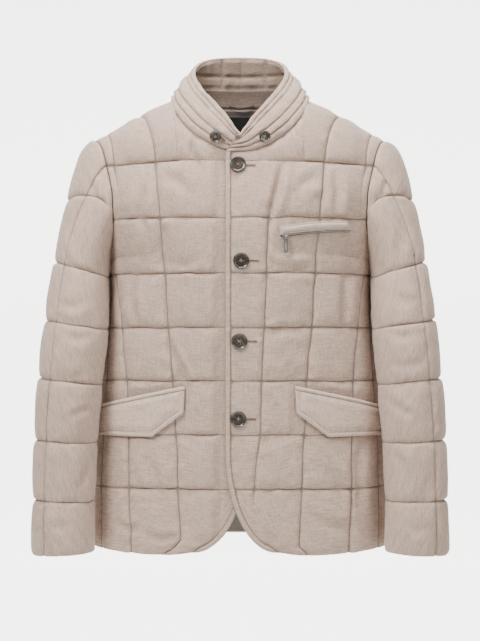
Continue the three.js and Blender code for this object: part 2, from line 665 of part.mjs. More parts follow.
// Fronts
const within = (from, to, soft, v) => smooth(from - soft, from, v) * (1 - smooth(to, to + soft, v));
const flapTop = (along) => FLAP.top - FLAP.fall * along;
const underFlap = (x, z) =>
  smooth(FLAP.x - 14, FLAP.x, x) * within(FLAP.foot + 4, flapTop(Math.max(x - FLAP.x, 0)) + 8, 12, z);
const underWelt = (side, x, z) => {
  if (side === "right") return 0;
  const foot = WELT.top - WELT.height - 26;
  return within(WELT.x, WELT.x + WELT.width, 12, x) * within(foot, WELT.top + WELT.climb, 12, z);
};

const besideNeck = (x, row) => 1 - 0.9 * smooth(YOKE + 0.4, YOKE + 0.95, row) * (1 - smooth(100, 160, x));

function frontPuff(side) {
  return (column, row, p) => {
    const x = Math.abs(p.x);
    const signed = side === "left" ? p.x : -p.x;
    const placket = 1 - 0.55 * (1 - smooth(20, 44, signed));
    const lapped = side === "right" ? smooth(24, 46, signed) : 1;
    const besideSleeve = 1 - 0.6 * smooth(170, 196, x);
    const pocket = 1 - 0.5 * underFlap(x, p.z) - 0.45 * underWelt(side, x, p.z);
    return PUFF * placket * Math.max(lapped, 0.15) * besideSleeve * pocket * besideNeck(x, row);
  };
}
const fading = (row) => 1 - smooth(6, 6.8, row);
function frontLines(side) {
  return [
    { at: 0, depth: 1 },
    { at: 1, depth: 1 },
    { at: 2, depth: (row) => (side === "left" ? fading(row) * smooth(0.6, 1, row) : 0) },
    { at: 4, depth: 1 },
    { at: 5, depth: (row) => 1 - 0.8 * within(5.4, 6.4, 0.5, row) },
    { at: 6, depth: (row) => 1 - smooth(4.4, 5, row) },
    { at: 7, depth: 1 },
  ];
}
const FRONT_COLUMN_VALUES = [
  0, 1, 1.15, 1.5, 1.85, 2, 2.3, 3, 3.7, 4, 4.15, 4.5, 4.85, 5, 5.25, 5.75, 6, 6.3, 6.7, 7,
];
const FRONT_INNER_COLUMNS = [0, 1, 1.5, 2, 3, 4, 4.5, 5, 6, 7];

for (const side of ["left", "right"]) {
  const point = outward(withNormal(frontSurface(side)), bodyAxis);
  const columns = FRONT_COLUMN_VALUES;
  const outer = paddedGrid(point, columns, BODY_ROW_VALUES, frontLines(side), BODY_ROW_LINES, frontPuff(side));
  const inner = offsetGrid(point, FRONT_INNER_COLUMNS, BODY_INNER_ROWS, -WALL);
  const cut = insetRim(outer, SEAM_INSET);
  addMesh(
    `front_${side}`,
    wallGeometry(
      cut, columns, BODY_ROW_VALUES,
      insetRim(inner, SEAM_INSET), FRONT_INNER_COLUMNS, BODY_INNER_ROWS,
    ),
    COLOURS.cloth,
  );
  // The bound edge: a strip on the two first columns of the panel.
  const strip = (height) =>
    [0, 1].map((i) => cut[i].map((p, j) => {
      const { n } = point(columns[i], BODY_ROW_VALUES[j]);
      return p.clone().addScaledVector(n, height);
    }));
  addMesh(
    `edge_binding_${side}`,
    wallGeometry(
      strip(CLEAR + BINDING_WALL), [0, 1], BODY_ROW_VALUES,
      strip(CLEAR), [0, 1], BODY_ROW_VALUES,
    ),
    COLOURS.cloth,
  );
}

// Back
const BACK_CELLS = [-5, -4, -3, -1, 1, 3, 4, 5];
const BACK_COLUMN_VALUES = cellValues(BACK_CELLS, [0, 0.13, 0.5, 0.87]).flatMap((v) => [v]);
for (const neck of [-2, 2]) {
  const nearest = BACK_COLUMN_VALUES.findIndex((v) => Math.abs(v - neck) < 0.3);
  BACK_COLUMN_VALUES[nearest] = neck;
}
const BACK_INNER_COLUMNS = [-5, -4.5, -4, -3, -2, -1, 0, 1, 2, 3, 4, 4.5, 5];
const backLines = [
  { at: -5, depth: 1 },
  { at: -4, depth: (row) => 1 - smooth(4.8, 5.3, row) },
  { at: -3, depth: 1 },
  { at: -1, depth: 1 },
  { at: 1, depth: 1 },
  { at: 3, depth: 1 },
  { at: 4, depth: (row) => 1 - smooth(4.8, 5.3, row) },
  { at: 5, depth: 1 },
];
const backPuff = (column, row, p) => {
  const x = Math.abs(p.x);
  return PUFF * besideNeck(x, row) * (1 - 0.6 * smooth(172, 196, x) * (1 - smooth(30, 60, p.y)));
};
const backPoint = outward(withNormal(backSurface), bodyAxis);
{
  const outer = paddedGrid(backPoint, BACK_COLUMN_VALUES, BODY_ROW_VALUES, backLines, BODY_ROW_LINES, backPuff);
  const inner = offsetGrid(backPoint, BACK_INNER_COLUMNS, BODY_INNER_ROWS, -WALL);
  addMesh(
    "back",
    wallGeometry(
      insetRim(outer, SEAM_INSET), BACK_COLUMN_VALUES, BODY_ROW_VALUES,
      insetRim(inner, SEAM_INSET), BACK_INNER_COLUMNS, BODY_INNER_ROWS,
    ),
    COLOURS.cloth,
  );
}

// Sleeves, each a front and a back piece that meet at an outer and an inner seam.
const RING_VALUES = cellValues([0, 1, 2, 3, 4, 5, 6, CUFF], ROW_SHARES);
const INNER_RINGS = [0, 0.5, 1, 1.5, 2, 3, 4, 5, 6, CUFF];
const ringLines = [
  { at: 0, depth: 1 },
  { at: 1, depth: (degrees) => smooth(-0.35, 0.1, Math.cos((degrees * Math.PI) / 180)) },
  ...[2, 3, 4, 5, 6].map((at) => ({ at, depth: 1 })),
  { at: CUFF, depth: 0.45 },
];
const sleevePuff = (degrees, ring) => {
  const inwards = smooth(0.2, 0.9, -Math.cos((degrees * Math.PI) / 180));
  return PUFF * (1 - 0.6 * inwards);
};
const SLEEVE_PIECES = [
  { name: "front", around: FRONT_ANGLES.slice(4) },
  { name: "back", around: [...BACK_ANGLES, ...FRONT_ANGLES.slice(1, 5).map((v) => v + 360)] },
];
for (const side of ["left", "right"]) {
  const mirror = side === "left" ? 1 : -1;
  const point = outward(withNormal(sleeveSurface(side)), (p) => sleeveAxis(p, mirror));
  for (const piece of SLEEVE_PIECES) {
    const { around } = piece;
    const near = (a, b) => lerp(a, b, 0.4);
    const values = [...around, near(around[0], around[1]), near(around.at(-1), around.at(-2))];
    values.sort((a, b) => a - b);
    const lines = [around[0], around.at(-1)].map((at) => ({ at, depth: 0.8 }));
    const outer = paddedGrid(point, values, RING_VALUES, lines, ringLines, sleevePuff);
    const inner = sleeveInner(point, around, INNER_RINGS);
    addMesh(
      `sleeve_${side}_${piece.name}`,
      wallGeometry(
        insetRim(outer, SEAM_INSET), values, RING_VALUES,
        insetRim(inner, SEAM_INSET), around, INNER_RINGS,
      ),
      COLOURS.cloth,
    );
  }
}

// The inside of a sleeve. At the armhole its wall is squared off against the body's wall.
function sleeveInner(point, around, rings) {
  return around.map((degrees) =>
    rings.map((ring) => {
      const { p, n } = point(degrees, ring);
      if (ring === 0) {
        const start = armholeStart(degrees);
        start.out.x *= Math.sign(p.x);
        const slope = Math.max(0, n.dot(start.out));
        n.addScaledVector(start.out, -slope).normalize();
      }
      return p.clone().addScaledVector(n, -WALL);
    }),
  );
}

// Collar
const COLLAR_UPS = [0, 0.12, 0.24, 0.36, 0.47, 0.63, 0.79, 0.845, 0.9, 1];
const COLLAR_INNER_UPS = [0, COLLAR_BAND.top / 2, COLLAR_BAND.top, 0.68, 1];
const COLLAR_ALONGS = Array.from({ length: 41 }, (_, i) => -1 + i / 20);
const COLLAR_INNER_ALONGS = Array.from({ length: 31 }, (_, i) => -1 + i / 15);
const collarSurface = (along, up) => collarPoint(clamp(along, -1, 1), clamp(up, 0, 1));
const collarAt = outward(withNormal(collarSurface), (p) => vec(0, -10, p.z - 10));
const collarLines = [
  { at: 0, depth: 0.8 },
  ...COLLAR_LINES.map((at) => ({ at, depth: 0.9 })),
  { at: 1, depth: 0.7 },
];
const collarEnds = [{ at: -1, depth: 0.9 }, { at: 1, depth: 0.9 }];
const collarOuter = paddedGrid(collarAt, COLLAR_ALONGS, COLLAR_UPS, collarEnds, collarLines, COLLAR_PUFF);
addMesh(
  "collar",
  wallGeometry(
    insetRim(collarOuter, SEAM_INSET), COLLAR_ALONGS, COLLAR_UPS,
    insetRim(offsetGrid(collarAt, COLLAR_INNER_ALONGS, COLLAR_INNER_UPS, -COLLAR_WALL), SEAM_INSET),
    COLLAR_INNER_ALONGS, COLLAR_INNER_UPS,
  ),
  COLOURS.cloth,
);

// The band inside the foot of the collar, laid on the collar's inner side.
{
  const reach = 1 - COLLAR_BAND.from;
  const alongs = COLLAR_INNER_ALONGS.filter((along) => Math.abs(along) < reach);
  const ups = COLLAR_INNER_UPS.slice(0, 3);
  const sheet = (depth) => offsetGrid(collarAt, alongs, ups, -COLLAR_WALL - CLEAR - depth);
  addMesh(
    "collar_inner_band",
    wallGeometry(sheet(0), alongs, ups, sheet(COLLAR_BAND.wall), alongs, ups),
    COLOURS.dark,
  );
}

// A flat strip laid on a surface: point(u, v) gives its outer side and thickness its wall.
function laidStrip(name, point, us, vs, height, wall, colour, puff = 0, margin = null) {
  const lines = margin ? [us[0], us.at(-1)].map((at) => ({ at, depth: margin })) : [];
  const rows = margin ? [vs[0], vs.at(-1)].map((at) => ({ at, depth: margin })) : [];
  const above = (u, v) => {
    const { p, n } = point(u, v);
    return { p: p.addScaledVector(n, height(u, v) + wall), n };
  };
  const below = us.map((u) => vs.map((v) => {
    const { p, n } = point(u, v);
    return p.addScaledVector(n, height(u, v));
  }));
  addMesh(name, wallGeometry(paddedGrid(above, us, vs, lines, rows, puff), us, vs, below, us, vs), colour);
}

// Places on a front by distance along the cloth from x, and height.
function frontByLength(side, x, z) {
  const mirror = side === "left" ? 1 : -1;
  const start = acrossAt(FRONT_ROWS, x, rowAt(FRONT_ROWS, 0.4, z));
  const steps = Array.from({ length: 41 }, (_, i) => lerp(start, 1, i / 40));
  const lengths = runningLengths(steps.map((across) => bodyPoint(FRONT_ROWS, across, rowAt(FRONT_ROWS, across, z))));
  const acrossOf = (along) => {
    let i = 1;
    while (i < 40 && lengths[i] < along) i += 1;
    const f = (along - lengths[i - 1]) / (lengths[i] - lengths[i - 1]);
    return lerp(steps[i - 1], steps[i], f);
  };
  return outward(withNormal((along, height) => {
    const across = acrossOf(along);
    const p = bodyPoint(FRONT_ROWS, across, rowAt(FRONT_ROWS, across, height));
    p.x *= mirror;
    return p;
  }, 0.5), bodyAxis);
}

// Flap pockets, each with a piped band above its flap.
const flapFoot = (along) => (along < FLAP.cut ? lerp(FLAP.top - FLAP.short, FLAP.foot, along / FLAP.cut) : FLAP.foot);
const flapLift = (along) => lerp(FLAP_LIFT.front, FLAP_LIFT.side, smooth(60, 125, along));
for (const side of ["left", "right"]) {
  const place = frontByLength(side, FLAP.x, (FLAP.top + FLAP.foot) / 2);
  const alongs = [0, 7, 26, 48, 75, 105, 135, FLAP.width - 7, FLAP.width];
  const shares = [0, 0.12, 0.5, 0.88, 1];
  const flap = (along, share) => place(along, lerp(flapFoot(along), flapTop(along), share));
  laidStrip(`flap_${side}`, flap, alongs, shares, flapLift, FLAP_WALL, COLOURS.cloth, FLAP_PUFF, 1);
  const jet = (along, share) => place(along, flapTop(along) + JET.apart + JET.height * share);
  laidStrip(`flap_band_${side}`, jet, alongs, [0, 0.5, 1], flapLift, JET.wall, COLOURS.cloth, 1.2, 1);
}

// The chest pocket: a raised welt over a zip.
const chest = frontByLength("left", WELT.x, WELT.top);
const weltTop = (along) => {
  const share = along / WELT.width;
  return WELT.top + WELT.climb * share + 4 * WELT.arch * share * (1 - share);
};
{
  const alongs = [0, 4, 28, 56, 84, 108, WELT.width];
  const welt = (along, share) => chest(along, weltTop(along) - WELT.height * (1 - share));
  laidStrip("chest_welt", welt, alongs, [0, 0.3, 0.7, 1], () => WELT.lift, WELT.wall, COLOURS.cloth, 1.5, 1);
  const tape = (along, share) => chest(along, weltTop(along) - WELT.height - CLEAR - ZIP_TAPE.drop * (1 - share));
  laidStrip("chest_zip", tape, alongs, [0, 1], () => ZIP_TAPE.lift, ZIP_TAPE.wall, COLOURS.dark);
}

// Zip slider, its bridge, and the pull that swings on the bridge.
function extruded(shape, width, facets = BRIDGE.facets) {
  const geometry = new THREE.ExtrudeGeometry(shape, { depth: width, bevelEnabled: false, curveSegments: facets });
  return geometry;
}
{
  const box = new THREE.BoxGeometry(SLIDER.width, SLIDER.wall, SLIDER.above + SLIDER.below);
  box.translate(PULL.x, PULL.y + BRIDGE.reach + SLIDER.wall / 2, PULL.z);
  addMesh("zip_slider", box, COLOURS.steel, 0.35, 1);
  const arch = new THREE.Shape();
  const outer = BRIDGE.radius + BRIDGE.wire / 2;
  const inner = BRIDGE.radius - BRIDGE.wire / 2;
  const foot = BRIDGE.reach - 0.05;
  arch.moveTo(foot, -outer);
  arch.absarc(0, 0, outer, -Math.PI / 2, -1.5 * Math.PI, true);
  arch.lineTo(foot, outer);
  arch.lineTo(foot, inner);
  arch.absarc(0, 0, inner, Math.PI / 2, 1.5 * Math.PI, false);
  arch.lineTo(foot, -inner);
  const bridge = extruded(arch, BRIDGE.wire);
  bridge.applyMatrix4(new THREE.Matrix4().makeBasis(vec(0, 1, 0), vec(0, 0, 1), vec(1, 0, 0)));
  bridge.translate(PULL.x - BRIDGE.wire / 2, PULL.y, PULL.z);
  addMesh("zip_bridge", bridge, COLOURS.steel, 0.35, 1);

  const half = PULL.width / 2;
  const round = 1.6;
  const tab = new THREE.Shape();
  tab.moveTo(-half, PULL.bar / 2);
  tab.lineTo(-half, round - PULL.length);
  tab.quadraticCurveTo(-half, -PULL.length, round - half, -PULL.length);
  tab.lineTo(half - round, -PULL.length);
  tab.quadraticCurveTo(half, -PULL.length, half, round - PULL.length);
  tab.lineTo(half, PULL.bar / 2);
  const hole = (top, length, width) => {
    const path = new THREE.Path();
    path.moveTo(-width / 2, top);
    path.lineTo(width / 2, top);
    path.lineTo(width / 2, top - length);
    path.lineTo(-width / 2, top - length);
    return path;
  };
  tab.holes.push(hole(-PULL.bar / 2, PULL.eye, PULL_HOLES.width));
  tab.holes.push(hole(-PULL_HOLES.slotTop, PULL_HOLES.slotLength, PULL_HOLES.width - 0.8));
  const pull = extruded(tab, PULL.wall, 3);
  pull.applyMatrix4(new THREE.Matrix4().makeBasis(vec(1, 0, 0), vec(0, 0, 1), vec(0, -1, 0)));
  pull.translate(PULL.x, PULL.y + PULL.wall / 2, PULL.z);
  addMesh("zip_pull_tab", pull, COLOURS.steel, 0.3, 1);
}

// Buttons: turned discs with a rim, standing on the cloth.
function button(name, size, at, normal) {
  const { radius, height, rim, dish } = size;
  const profile = [
    [0, 0], [radius * 0.8, 0], [radius, height * 0.45], [radius - 0.3, height * 0.85],
    [radius - rim * 0.6, height], [radius - rim * 1.3, height * 0.9], [radius - rim * 2, height - dish], [0, height - dish],
  ];
  const geometry = new THREE.LatheGeometry(profile.map(([r, h]) => new THREE.Vector2(r, h)), BUTTON_FACETS);
  const turn = new THREE.Quaternion().setFromUnitVectors(vec(0, 1, 0), normal);
  geometry.applyQuaternion(turn);
  geometry.translate(at.x, at.y, at.z);
  addMesh(name, geometry, COLOURS.horn, 0.3);
}
BUTTONS.forEach(({ x, z, seat }, i) => {
  const row = rowAt(FRONT_ROWS, 0.01, z);
  const p = bodyPoint(FRONT_ROWS, 0.01, row);
  const above = bodyPoint(FRONT_ROWS, 0.01, row + 0.02);
  const up = above.sub(p).normalize();
  const normal = up.clone().cross(vec(1, 0, 0)).normalize();
  if (normal.y > 0) normal.negate();
  button(`button_${i + 1}`, BUTTON, p.setX(x).addScaledVector(normal, seat), normal);
});
for (const side of ["left", "right"]) {
  const along = side === "left" ? COLLAR_BUTTON_AT.along : -COLLAR_BUTTON_AT.along;
  const { p, n } = collarAt(along, COLLAR_BUTTON_AT.up);
  button(`collar_button_${side}`, COLLAR_BUTTON, p.addScaledVector(n, COLLAR_BUTTON_AT.seat), n);
}

// Inside the back neck: a blank label and a hanging loop.
function insideBack(x, z) {
  const low = rowAt(BACK_ROWS, 0.1, Math.min(z, -94));
  let from = low;
  let to = YOKE + 1;
  for (let i = 0; i < 24; i += 1) {
    const middle = (from + to) / 2;
    if (bodyPoint(BACK_ROWS, acrossAt(BACK_ROWS, x, middle), middle).z < z) from = middle;
    else to = middle;
  }
  return bodyPoint(BACK_ROWS, acrossAt(BACK_ROWS, x, from), from);
}
{
  const inside = outward(withNormal(insideBack, 0.5), bodyAxis);
  const xs = [LABEL.from, 0, LABEL.to];
  const zs = [LABEL.foot, (LABEL.foot + LABEL.top) / 2, LABEL.top];
  const sheet = (depth) => offsetGrid(inside, xs, zs, -WALL - LABEL.off - depth);
  addMesh("label_place", wallGeometry(sheet(0), xs, zs, sheet(LABEL.wall), xs, zs), COLOURS.label, 0.7);
  const steps = [0, 0.25, 0.5, 0.75, 1];
  const centre = (share) => {
    const z = LOOP.z - 4 * LOOP.sag * share * (1 - share);
    const p = collarAt(0, 0.02).p;
    const y = p.y - COLLAR_WALL - COLLAR_BAND.wall - LOOP.off - 4 * LOOP.bow * share * (1 - share);
    return vec(lerp(LOOP.from, LOOP.to, share), y, z);
  };
  const strip = (depth) =>
    steps.map((share) => [0, LOOP.height].map((up) => centre(share).add(vec(0, -depth, up))));
  addMesh("hanger_loop", wallGeometry(strip(0), steps, [0, 1], strip(LOOP.wall), steps, [0, 1]), COLOURS.dark);
}

export default model;
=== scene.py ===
# %% [markdown]
# # A quilted jacket
# A men's stand-collar jacket in soft heathered wool cloth, quilted in wide channels and filled out
# as if worn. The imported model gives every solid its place. This script makes the cloth, the
# stitching and the trims that are seen on those solids.
# Lengths are worked out in millimetres, as a tailor would, and turned into metres for each mesh.

# %% Start
import math
import bmesh
import bpy
import numpy as np
from mathutils import Matrix, Vector


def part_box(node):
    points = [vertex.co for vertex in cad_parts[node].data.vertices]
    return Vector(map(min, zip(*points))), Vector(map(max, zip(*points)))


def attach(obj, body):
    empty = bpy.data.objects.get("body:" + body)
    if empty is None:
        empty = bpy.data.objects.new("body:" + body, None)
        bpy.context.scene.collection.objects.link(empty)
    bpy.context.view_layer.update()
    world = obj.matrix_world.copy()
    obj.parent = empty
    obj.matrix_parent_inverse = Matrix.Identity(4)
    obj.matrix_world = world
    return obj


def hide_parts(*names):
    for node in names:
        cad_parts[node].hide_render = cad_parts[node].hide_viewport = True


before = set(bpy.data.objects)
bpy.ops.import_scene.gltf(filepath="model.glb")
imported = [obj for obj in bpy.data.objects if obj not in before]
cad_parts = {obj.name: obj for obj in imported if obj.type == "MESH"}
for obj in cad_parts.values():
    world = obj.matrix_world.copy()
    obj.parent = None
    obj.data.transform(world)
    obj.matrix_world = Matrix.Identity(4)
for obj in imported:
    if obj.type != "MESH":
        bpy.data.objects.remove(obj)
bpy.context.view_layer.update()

# %% [markdown]
# ## Camera and studio
# The jacket is seen straight from the front, at the height of its own middle, from far enough
# away that nearly nothing is foreshortened. A long lens does this; a short one would swell the
# chest. The ground is one pale sheet that rises behind the jacket in a wide curve, so that no
# corner or horizon shows.

# %% Camera
camera_data = bpy.data.cameras.new("camera")
camera = bpy.data.objects.new("camera", camera_data)
bpy.context.collection.objects.link(camera)
camera.location = (0, -2.8, -0.3393)
camera.rotation_euler = (math.radians(90), 0, 0)
camera_data.sensor_fit = "VERTICAL"
camera_data.sensor_height = 36
camera_data.lens = 98.65
bpy.context.scene.camera = camera

# %% Backdrop
def new_material(name):
    material = bpy.data.materials.new(name)
    material.use_nodes = True
    return material, material.node_tree.nodes["Principled BSDF"]


def linear(red, green, blue):
    """A colour given in sRGB, 0 to 255, as the linear value that a shader takes."""
    values = [c / 255 for c in (red, green, blue)]
    return [c / 12.92 if c <= 0.04045 else ((c + 0.055) / 1.055) ** 2.4 for c in values] + [1]


FLOOR_Z, FRONT_Y, BEND_Y, BEND, WALL_TOP, HALF_WIDTH = -1.15, -4.5, 3.2, 1.2, 4.0, 4
profile = [(FRONT_Y, FLOOR_Z), (BEND_Y, FLOOR_Z)]
for angle in np.linspace(0.15, 1.57, 10):
    profile.append((BEND_Y + BEND * math.sin(angle), FLOOR_Z + BEND - BEND * math.cos(angle)))
profile += [(BEND_Y + BEND, WALL_TOP)]
backdrop_mesh = bpy.data.meshes.new("backdrop")
backdrop_mesh.from_pydata(
    [(x, y, z) for y, z in profile for x in (-HALF_WIDTH, HALF_WIDTH)], [],
    [(2 * i, 2 * i + 1, 2 * i + 3, 2 * i + 2) for i in range(len(profile) - 1)],
)
backdrop_mesh.polygons.foreach_set("use_smooth", [True] * len(backdrop_mesh.polygons))
backdrop = bpy.data.objects.new("backdrop", backdrop_mesh)
bpy.context.collection.objects.link(backdrop)
paper, paper_shader = new_material("studio_paper")
paper_shader.inputs["Base Color"].default_value = linear(236, 236, 234)
paper_shader.inputs["Roughness"].default_value = 0.95
paper_shader.inputs["Emission Color"].default_value = linear(241, 241, 239)
GLOW_START, GLOW_FULL, GLOW = 1.0, 1.6, 3.9
glow = paper.node_tree.nodes.new("ShaderNodeMapRange")
position = paper.node_tree.nodes.new("ShaderNodeTexCoord")
split = paper.node_tree.nodes.new("ShaderNodeSeparateXYZ")
paper.node_tree.links.new(position.outputs["Object"], split.inputs[0])
paper.node_tree.links.new(split.outputs["Y"], glow.inputs["Value"])
glow_range = (("From Min", GLOW_START), ("From Max", GLOW_FULL), ("To Min", 0.0), ("To Max", GLOW))
for name, value in glow_range:
    glow.inputs[name].default_value = value
paper.node_tree.links.new(glow.outputs[0], paper_shader.inputs["Emission Strength"])
backdrop_mesh.materials.append(paper)

# %% [markdown]
# The light is soft. Most of it comes from above and from the left, so that every row of quilting
# has a bright lip and a shaded groove; a weaker light fills the right side. Little light comes
# from the surroundings, because a bright room would wash the grooves out. The paper glows only
# where it stands behind the jacket, so it is nearly white without lighting the cloth from below.

# %% Lights
def area_light(name, place, aim, size, watts, colour=(1, 1, 1)):
    data = bpy.data.lights.new(name, "AREA")
    data.shape = "RECTANGLE"
    data.size, data.size_y = size
    data.energy = watts
    data.color = colour
    light = bpy.data.objects.new(name, data)
    light.location = place
    light.rotation_euler = (Vector(aim) - Vector(place)).to_track_quat("-Z", "Y").to_euler()
    bpy.context.collection.objects.link(light)


area_light("key_left", (-1.3, -1.7, 1.75), (0, 0, -0.35), (0.8, 0.8), 120)
area_light("key_right", (1.7, -2.1, 1.0), (0, 0, -0.35), (1.0, 1.2), 34)
area_light("top", (0, -0.5, 1.7), (0, -0.05, -0.3), (1.4, 0.6), 84)
area_light("behind", (0, 1.5, 1.8), (0, 0.2, -0.2), (2.0, 0.8), 22)
world = bpy.data.worlds.new("studio")
world.use_nodes = True
world.node_tree.nodes["Background"].inputs["Color"].default_value = (0.9, 0.9, 0.9, 1)
world.node_tree.nodes["Background"].inputs["Strength"].default_value = 0.24
bpy.context.scene.world = world

# %% [markdown]
# ## The jacket's form
# A jacket that is filled out by a wearer has no plain geometric form. It can be scanned, draped
# over a figure by simulation, or described row by row as a pattern cutter does. The last is used
# here: each stitched row of the quilting has a place at the centre line and one at the side seam,
# and a smooth curve between them. Every panel, pocket and button then finds its place on that
# one surface.

# %% Curves through tables
class Table:
    """Smooth curves through the columns of a table, each read at a value of the first column."""

    def __init__(self, names, rows, kink=None):
        self.at = np.array([row[0] for row in rows], float)
        self.made = {}
        last = len(rows) - 1
        for k, name in enumerate(names):
            y = np.array([row[k + 1] for row in rows], float)
            starts, ends = [], []
            for i in range(last):
                a = i if i == 0 or self.at[i] == kink else i - 1
                starts.append((y[i + 1] - y[a]) / (self.at[i + 1] - self.at[a]))
                b = i + 1 if i + 1 == last or self.at[i + 1] == kink else i + 2
                ends.append((y[b] - y[i]) / (self.at[b] - self.at[i]))
            self.made[name] = (y, np.array(starts), np.array(ends))

    def read(self, name, value):
        y, starts, ends = self.made[name]
        value = np.asarray(value, float)
        i = np.searchsorted(self.at[1:-1], value, side="left")
        span = self.at[i + 1] - self.at[i]
        t = np.clip((value - self.at[i]) / span, 0, 1)
        t2, t3 = t * t, t * t * t
        return (
            (2 * t3 - 3 * t2 + 1) * y[i] + (t3 - 2 * t2 + t) * starts[i] * span
            + (3 * t2 - 2 * t3) * y[i + 1] + (t3 - t2) * ends[i] * span
        )


def lerp(a, b, t):
    return a + (b - a) * t


def smooth(start, end, value):
    t = np.clip((value - start) / (end - start), 0, 1)
    return t * t * (3 - 2 * t)


def within(start, end, soft, value):
    return smooth(start - soft, start, value) * (1 - smooth(end, end + soft, value))


def unit(v):
    return v / np.maximum(np.linalg.norm(v, axis=-1, keepdims=True), 1e-12)


def bezier(p0, p1, p2, p3, t):
    t = t[..., None]
    s = 1 - t
    return s**3 * p0 + 3 * s * s * t * p1 + 3 * s * t * t * p2 + t**3 * p3


# %% Body rows
YOKE, ARMPIT = 7, 5.35
ROW_NAMES = ["cy", "cz", "x", "y", "z", "hx", "hy"]
FRONT_ROWS = Table(ROW_NAMES, [
    (0, -114, -701, 234, 8, -694, 0, -72),
    (1, -113, -598, 233, 8, -600, 0, -72),
    (2, -112, -515, 229, 8, -516, 0, -70),
    (3, -112, -432, 221, 8, -433, 0, -70),
    (4, -114, -350, 212, 8, -351, 0, -70),
    (5, -116, -266, 205, 8, -268, 0, -70),
    (ARMPIT, -116, -236, 204, 6, -241, -1, -66),
    (5.5, -116, -223, 203, -18, -232, -8, -50),
    (5.75, -116, -202, 200, -47, -210, -24, -36),
    (6, -115, -181, 198, -63, -182, -40, -30),
    (6.5, -109, -138, 199, -66, -140, -46, -26),
    (YOKE, -99, -93, 209, -45, -97, -50, -28),
], kink=ARMPIT)
BACK_ROWS = Table(ROW_NAMES, [
    (0, 104, -687, 234, 8, -694, 0, 64),
    (1, 102, -596, 233, 8, -600, 0, 62),
    (2, 98, -514, 229, 8, -516, 0, 60),
    (3, 94, -432, 221, 8, -433, 0, 58),
    (4, 95, -350, 212, 8, -351, 0, 58),
    (5, 100, -266, 205, 8, -268, 0, 60),
    (ARMPIT, 102, -236, 204, 6, -241, -1, 58),
    (5.5, 102, -223, 204, 26, -231, -6, 42),
    (5.75, 103, -202, 203, 50, -208, -20, 28),
    (6, 103, -181, 203, 62, -182, -36, 22),
    (6.5, 101, -138, 205, 68, -140, -44, 18),
    (YOKE, 92, -93, 212, 56, -97, -50, 20),
], kink=ARMPIT)
FLATNESS = 0.6
SHOULDER = np.array([236.0, 12, -56])
NECK_POINT = np.array([107.0, 8, 11])
YOKE_SPREAD, YOKE_DROP = 1.6, 0.5


def body_point(rows, across, row):
    """The body's plain surface: across is 0 at the centre line and 1 at the side seam."""
    across, row = np.broadcast_arrays(np.asarray(across, float), np.asarray(row, float))
    low = np.minimum(row, YOKE)
    read = {name: rows.read(name, low) for name in ROW_NAMES}
    end = np.stack([read["x"], read["y"], read["z"]], -1)
    centre = np.stack([0 * low, read["cy"], read["cz"]], -1)
    flat = np.stack([read["x"] * FLATNESS, read["cy"], read["cz"]], -1)
    handle = np.stack([read["x"] + read["hx"], read["y"] + read["hy"], read["z"]], -1)
    p = bezier(centre, flat, handle, end, np.minimum(np.abs(across), 1))
    share = np.maximum(row - YOKE, 0)
    run = SHOULDER - NECK_POINT
    sharpness = 1 + YOKE_DROP * (p[..., 0] / read["x"]) ** 4
    x = p[..., 0] * lerp(1, SHOULDER[0] / read["x"], share**YOKE_SPREAD)
    out = x - SHOULDER[0]
    angle = share * math.pi / 2
    y = lerp(SHOULDER[1] + run[1] / run[0] * out, p[..., 1], np.cos(angle))
    z = lerp(p[..., 2], SHOULDER[2] + run[2] / run[0] * out, np.sin(angle) ** sharpness)
    p = np.where((row > YOKE)[..., None], np.stack([x, y, z], -1), p)
    p[..., 0] = np.where(across < 0, -p[..., 0], p[..., 0])
    return p


def bisect(low, high, above):
    """The value between low and high where above turns true, for whole arrays at once."""
    for _ in range(22):
        middle = (low + high) / 2
        high_side = above(middle)
        low, high = np.where(high_side, low, middle), np.where(high_side, middle, high)
    return low


def across_at(rows, x, row):
    x, row = np.broadcast_arrays(np.asarray(x, float), np.asarray(row, float))
    found = bisect(0 * x, 0 * x + 1, lambda middle: body_point(rows, middle, row)[..., 0] >= np.abs(x))
    return np.where(x < 0, -found, found)


def row_at(rows, across, z, top=YOKE):
    across, z = np.broadcast_arrays(np.asarray(across, float), np.asarray(z, float))
    return bisect(0 * z, 0 * z + top, lambda middle: body_point(rows, across, middle)[..., 2] >= z)


# %% [markdown]
# ### Panels
# A front is cut along its stitch lines: edge, bound edge, first, second and third line, side. Its
# columns follow those lines, so that the quilting can be raised between them. Below the last
# button the edge curves away in a quarter ellipse.

# %% Front and back panels
FRONT_LINES = Table(["first", "second", "third"], [
    (0, 84, 91, 168), (0.5, 32, 93, 170), (1, 22, 95, 172), (2, 31, 98, 173), (3, 34, 103, 176),
    (4, 37, 110, 184), (5, 41, 116, 192), (6, 45, 122, 196), (YOKE, 62, 130, 201),
])
BACK_LINES = Table(["first", "second"], [(0, 40, 120), (YOKE, 40, 119)])
OVERLAP = {"left": 22, "right": 12}
LAP = {"left": 3, "right": -3.2}
CORNER = {"left": (60, 82), "right": (74, 86)}
CORNER_Z, CORNER_RZ, CORNER_END, CORNER_ROW = -540, 156, 1.47, 1.7
BINDING_WIDTH = 7.5
FRONT_NECK = Table(["x", "yoke"], [
    (0, -22, 0.055), (0.16, 14, 0.064), (0.28, 38, 0.11), (0.41, 63, 0.194),
    (0.55, 84, 0.327), (0.78, 104, 0.622), (1, 107, 1),
])
BACK_NECK = Table(["x", "yoke"], [
    (0, 0, 0.421), (0.33, 35, 0.493), (0.66, 70, 0.605), (0.88, 95, 0.756), (1, 107, 1),
])
CORNER_PULL = [1, 1, 0.55, 0.25, 0, 0, 0, 0]
NECK_PARTS = np.array([0, 0.034, 0.55, 1])
SEAM_TOPS = np.array([0.57, 0.87, 0.94, 1])


